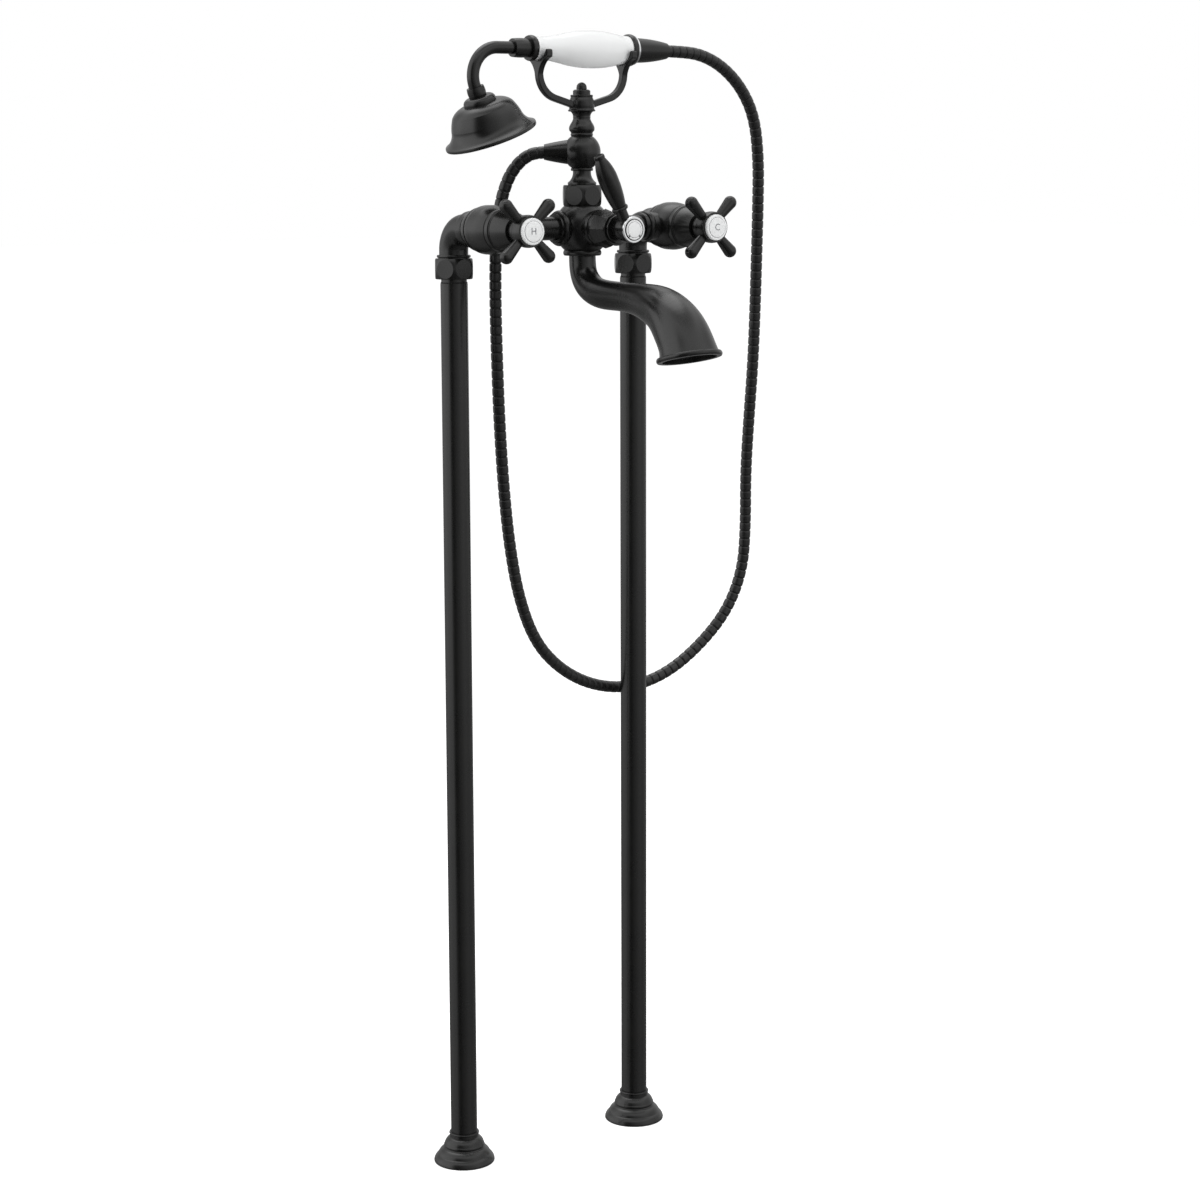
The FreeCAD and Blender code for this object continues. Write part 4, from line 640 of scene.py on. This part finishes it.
def nozzleTree():
    # one nozzle in the middle, then rings of 6, 12, 18 and so on, each a step further out
    tree, given = newTree("sprayNozzles", {"Count": "Int", "Sides": "Int", "Pitch": "Float", "Foot": "Float",
                                           "Tip": "Float", "Tall": "Float"})
    index = addNode(tree, "GeometryNodeInputIndex").outputs[0]
    # ring number k of point i: floor(sqrt(12 i - 3) / 6 + 1/2), which is 0 for the middle
    # the half is a hair over, so that rounding can't drop a nozzle into the ring inside
    under = addNode(tree, "ShaderNodeMath", {0: index, 1: 12.0, 2: -3.0}, operation="MULTIPLY_ADD")
    inside = addNode(tree, "ShaderNodeMath", {0: under.outputs[0], 1: 0.0}, operation="MAXIMUM")
    root = addNode(tree, "ShaderNodeMath", {0: inside.outputs[0]}, operation="SQRT")
    level = addNode(tree, "ShaderNodeMath", {0: root.outputs[0], 1: 1 / 6, 2: 0.501},
                    operation="MULTIPLY_ADD")
    ring = addNode(tree, "ShaderNodeMath", {0: level.outputs[0]}, operation="FLOOR").outputs[0]
    # its turn in the ring: i less the 3 k (k - 1) nozzles inside, in 6 k even steps
    fewer = addNode(tree, "ShaderNodeMath", {0: ring, 1: 1.0}, operation="SUBTRACT")
    pairs = addNode(tree, "ShaderNodeMath", {0: ring, 1: fewer.outputs[0]}, operation="MULTIPLY")
    step = addNode(tree, "ShaderNodeMath", {0: pairs.outputs[0], 1: -3.0, 2: index}, operation="MULTIPLY_ADD")
    steps = addNode(tree, "ShaderNodeMath", {0: ring, 1: 6.0}, operation="MULTIPLY")
    atLeast = addNode(tree, "ShaderNodeMath", {0: steps.outputs[0], 1: 1.0}, operation="MAXIMUM")
    share = addNode(tree, "ShaderNodeMath", {0: step.outputs[0], 1: atLeast.outputs[0]}, operation="DIVIDE")
    turn = addNode(tree, "ShaderNodeMath", {0: share.outputs[0], 1: 2 * math.pi}, operation="MULTIPLY")
    out = addNode(tree, "ShaderNodeMath", {0: ring, 1: given["Pitch"]}, operation="MULTIPLY")
    arm = addNode(tree, "ShaderNodeCombineXYZ", {"X": out.outputs[0]})
    spot = addNode(tree, "ShaderNodeVectorRotate", {"Vector": arm.outputs[0], "Angle": turn.outputs[0]},
                   rotation_type="Z_AXIS")
    points = addNode(tree, "GeometryNodePoints", {"Count": given["Count"], "Position": spot.outputs[0]})
    nub = addNode(tree, "GeometryNodeMeshCone", {
        "Vertices": given["Sides"], "Radius Top": given["Tip"], "Radius Bottom": given["Foot"],
        "Depth": given["Tall"]})
    placed = addNode(tree, "GeometryNodeInstanceOnPoints", {
        "Points": points.outputs[0], "Instance": nub.outputs["Mesh"]})
    endTree(tree, placed.outputs["Instances"], given["Material"])
    return tree


nozzles = grown("sprayNozzles", bpy.data.meshes.new("sprayNozzles"), nozzleTree(), {
    "Count": spraySpec["count"], "Sides": spraySpec["sides"], "Pitch": spraySpec["pitch"] * mm,
    "Foot": spraySpec["foot"] * mm, "Tip": spraySpec["tip"] * mm, "Tall": spraySpec["tall"] * mm}, silicone)
nozzles.data.transform(Matrix.Translation(middleOf("spray_plate"))
                       @ Matrix.Rotation(math.radians(spraySpec["lean"]), 4, "Y")
                       @ Matrix.Translation((0, 0, (spraySpec["toFace"] - spraySpec["sink"]) * mm)))
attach(nozzles, "handset")
print(f"{spraySpec['count']} nozzles made")


# Cradle

cradleSpec = {"mergeMm": 0.002, "voxelMm": 0.4, "passes": 30, "strength": 0.5}


def castCopy(name, node, spec):
    # the same casting in the same place, with its edges rubbed round as casting and polishing leave them
    shape = bmesh.new()
    shape.from_mesh(nodes[node].data)
    bmesh.ops.remove_doubles(shape, verts=shape.verts, dist=spec["mergeMm"] * mm)
    mesh = bpy.data.meshes.new(name)
    shape.to_mesh(mesh)
    shape.free()
    piece = newPiece(name, mesh, satinBlack)
    grid = piece.modifiers.new("grid", "REMESH")
    grid.mode = "VOXEL"
    grid.voxel_size = spec["voxelMm"] * mm
    grid.use_smooth_shade = True
    rubbed = piece.modifiers.new("rubbed", "SMOOTH")
    rubbed.factor = spec["strength"]
    rubbed.iterations = spec["passes"]
    piece.data = plainMesh(piece)
    piece.modifiers.clear()
    piece.data.name = name
    return piece


cradle = castCopy("castCradle", "cradle", cradleSpec)
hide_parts("cradle")
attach(cradle, "stand")
print(f"cradle {len(cradle.data.polygons)} faces")


# Camera, floor and light

cameraSpec = {"spot": (-1.4238, -2.1242, 0.9671), "azimuth": -34.962, "pitch": 9.4249, "roll": -0.18306,
              "lens": 80.8, "sensor": 36.0, "far": 50.0}


def setCamera(spec):
    camera = newObject("camera", bpy.data.cameras.new("camera"))
    camera.data.lens = spec["lens"]
    camera.data.sensor_width = spec["sensor"]
    camera.data.clip_end = spec["far"]
    turn = (Matrix.Rotation(math.radians(spec["azimuth"]), 4, "Z")
            @ Matrix.Rotation(math.radians(90 - spec["pitch"]), 4, "X")
            @ Matrix.Rotation(math.radians(spec["roll"]), 4, "Z"))
    camera.matrix_world = Matrix.Translation(spec["spot"]) @ turn
    scene.camera = camera


lampSpecs = {
    "leftBox": {"spot": (-2.1, 1.1, 1.5), "aim": (0.0, 0.0, 0.75), "size": (1.2, 2.4), "power": 30.0},
    "rightBox": {"spot": (1.2, -2.3, 1.4), "aim": (0.0, 0.0, 0.7), "size": (1.4, 2.4), "power": 24.0},
    "topBox": {"spot": (-0.3, -0.5, 3.0), "aim": (0.0, 0.0, 0.8), "size": (2.0, 2.0), "power": 30.0},
}


def softbox(name, spec):
    lamp = bpy.data.lights.new(name, "AREA")
    lamp.shape = "RECTANGLE"
    lamp.size, lamp.size_y = spec["size"]
    lamp.energy = spec["power"]
    box = newObject(name, lamp)
    box.location = spec["spot"]
    box.rotation_euler = (Vector(spec["aim"]) - Vector(spec["spot"])).to_track_quat("-Z", "Y").to_euler()
    box.visible_glossy = False  # the room below is what shows in the finish


worldSpec = {
    "fill": 0.45, "most": 2.0,  # level of the light on matt surfaces, and the top of the table below
    "toCamera": (-0.573, -0.8195, 0.0), "toRight": (0.8195, -0.573, 0.0),  # as the photograph was taken
    # level of the room by its turn from the camera, in degrees, minus to the left
    "around": ((-180, 0.75), (-150, 0.55), (-137, 0.5), (-118, 0.95), (-106, 1.45), (-60, 1.65), (-48, 1.6),
               (-39, 0.25), (-34, 0.06), (-14, 0.05), (-6, 0.25), (3, 0.38), (24, 0.58), (42, 0.85),
               (60, 1.0), (78, 0.8), (104, 0.7), (137, 0.8), (180, 0.75)),
    # share of it that is left at each height of the view line, from straight down to straight up
    "upward": ((-1.0, 0.2), (-0.5, 0.28), (-0.3, 0.38), (-0.19, 0.48), (-0.05, 1.0), (0.8, 1.0), (0.93, 0.5),
               (1.0, 0.5)),
    "skyLevel": 1.4, "skyStart": 0.5, "skyFull": 0.78,
    "overhead": (0.05, 0.34, 0.939), "overStart": 0.87, "overFull": 0.96, "overLevel": 2.8,
}


def studioWorld(spec):
    # a white room that reflections see as it is lit: a wide soft light on the left, black beside the camera,
    # half light on the right, and a soft light overhead
    world = bpy.data.worlds.new("studio")
    world.use_nodes = True
    tree = world.node_tree
    tree.nodes.clear()
    path = addNode(tree, "ShaderNodeLightPath").outputs
    seen = addNode(tree, "ShaderNodeMath", {0: path["Is Glossy Ray"], 1: path["Is Transmission Ray"]},
                   operation="MAXIMUM")
    toward = addNode(tree, "ShaderNodeTexCoord").outputs["Generated"]
    front, side, above = [addNode(tree, "ShaderNodeVectorMath", {0: toward, 1: spec[name]},
                                  operation="DOT_PRODUCT").outputs["Value"]
                          for name in ("toCamera", "toRight", "overhead")]
    turn = addNode(tree, "ShaderNodeMath", {0: side, 1: front}, operation="ARCTAN2")
    turnShare = addNode(tree, "ShaderNodeMapRange", {
        "Value": turn.outputs[0], "From Min": -math.pi, "From Max": math.pi})
    height = addNode(tree, "ShaderNodeSeparateXYZ", {0: toward})
    heightShare = addNode(tree, "ShaderNodeMapRange", {"Value": height.outputs["Z"], "From Min": -1.0})
    around = addNode(tree, "ShaderNodeFloatCurve", {"Value": turnShare.outputs["Result"]})
    drawCurve(around.mapping, [(degrees / 360 + 0.5, light / spec["most"])
                               for degrees, light in spec["around"]])
    upward = addNode(tree, "ShaderNodeFloatCurve", {"Value": heightShare.outputs["Result"]})
    drawCurve(upward.mapping, [(rise / 2 + 0.5, left) for rise, left in spec["upward"]])
    wall = addNode(tree, "ShaderNodeMath", {0: around.outputs[0], 1: spec["most"]}, operation="MULTIPLY")
    high = addNode(tree, "ShaderNodeMapRange", {
        "Value": height.outputs["Z"], "From Min": spec["skyStart"], "From Max": spec["skyFull"]},
        interpolation_type="SMOOTHSTEP")
    sky = addNode(tree, "ShaderNodeMix", {
        "Factor": high.outputs["Result"], "A": wall.outputs[0], "B": spec["skyLevel"]})
    faded = addNode(tree, "ShaderNodeMath", {0: sky.outputs["Result"], 1: upward.outputs[0]},
                    operation="MULTIPLY")
    over = addNode(tree, "ShaderNodeMapRange", {
        "Value": above, "From Min": spec["overStart"], "From Max": spec["overFull"]},
        interpolation_type="SMOOTHSTEP")
    level = addNode(tree, "ShaderNodeMix", {
        "Factor": over.outputs["Result"], "A": faded.outputs[0], "B": spec["overLevel"]})
    lit = addNode(tree, "ShaderNodeBackground", {"Color": white, "Strength": spec["fill"]})
    shown = addNode(tree, "ShaderNodeBackground", {"Color": white, "Strength": level.outputs["Result"]})
    plain = addNode(tree, "ShaderNodeBackground", {"Color": white, "Strength": 1.0})
    first = addNode(tree, "ShaderNodeMixShader", {0: seen.outputs[0], 1: lit.outputs[0], 2: shown.outputs[0]})
    second = addNode(tree, "ShaderNodeMixShader", {
        0: path["Is Camera Ray"], 1: first.outputs[0], 2: plain.outputs[0]})
    addNode(tree, "ShaderNodeOutputWorld", {"Surface": second.outputs[0]})
    scene.world = world


floorSpec = {"colour": "#f4f4f4", "selfLight": 0.64, "half": 25.0}


def paleFloor(spec):
    # matt white studio floor: some self light for the camera, so that it stays white to the horizon
    material, tree = newMaterial("paintedStudioFloor")[:2]
    path = addNode(tree, "ShaderNodeLightPath").outputs
    matt = addNode(tree, "ShaderNodeBsdfDiffuse", {"Color": linear(spec["colour"])})
    glow = addNode(tree, "ShaderNodeEmission", {"Color": white, "Strength": spec["selfLight"]})
    both = addNode(tree, "ShaderNodeAddShader", {0: matt.outputs[0], 1: glow.outputs[0]})
    mixed = addNode(tree, "ShaderNodeMixShader", {
        0: path["Is Camera Ray"], 1: matt.outputs[0], 2: both.outputs[0]})
    addNode(tree, "ShaderNodeOutputMaterial", {"Surface": mixed.outputs[0]})
    mesh = bpy.data.meshes.new("studioFloor")
    half = spec["half"]
    corners = [(-half, -half, 0), (half, -half, 0), (half, half, 0), (-half, half, 0)]
    mesh.from_pydata(corners, [], [(0, 1, 2, 3)])
    floor = newPiece("studioFloor", mesh, material)
    floor.visible_glossy = False  # reflections see the room instead


setCamera(cameraSpec)
for name, spec in lampSpecs.items():
    softbox(name, spec)
studioWorld(worldSpec)
paleFloor(floorSpec)
scene.view_settings.view_transform = "Standard"
print("camera, floor and light set")
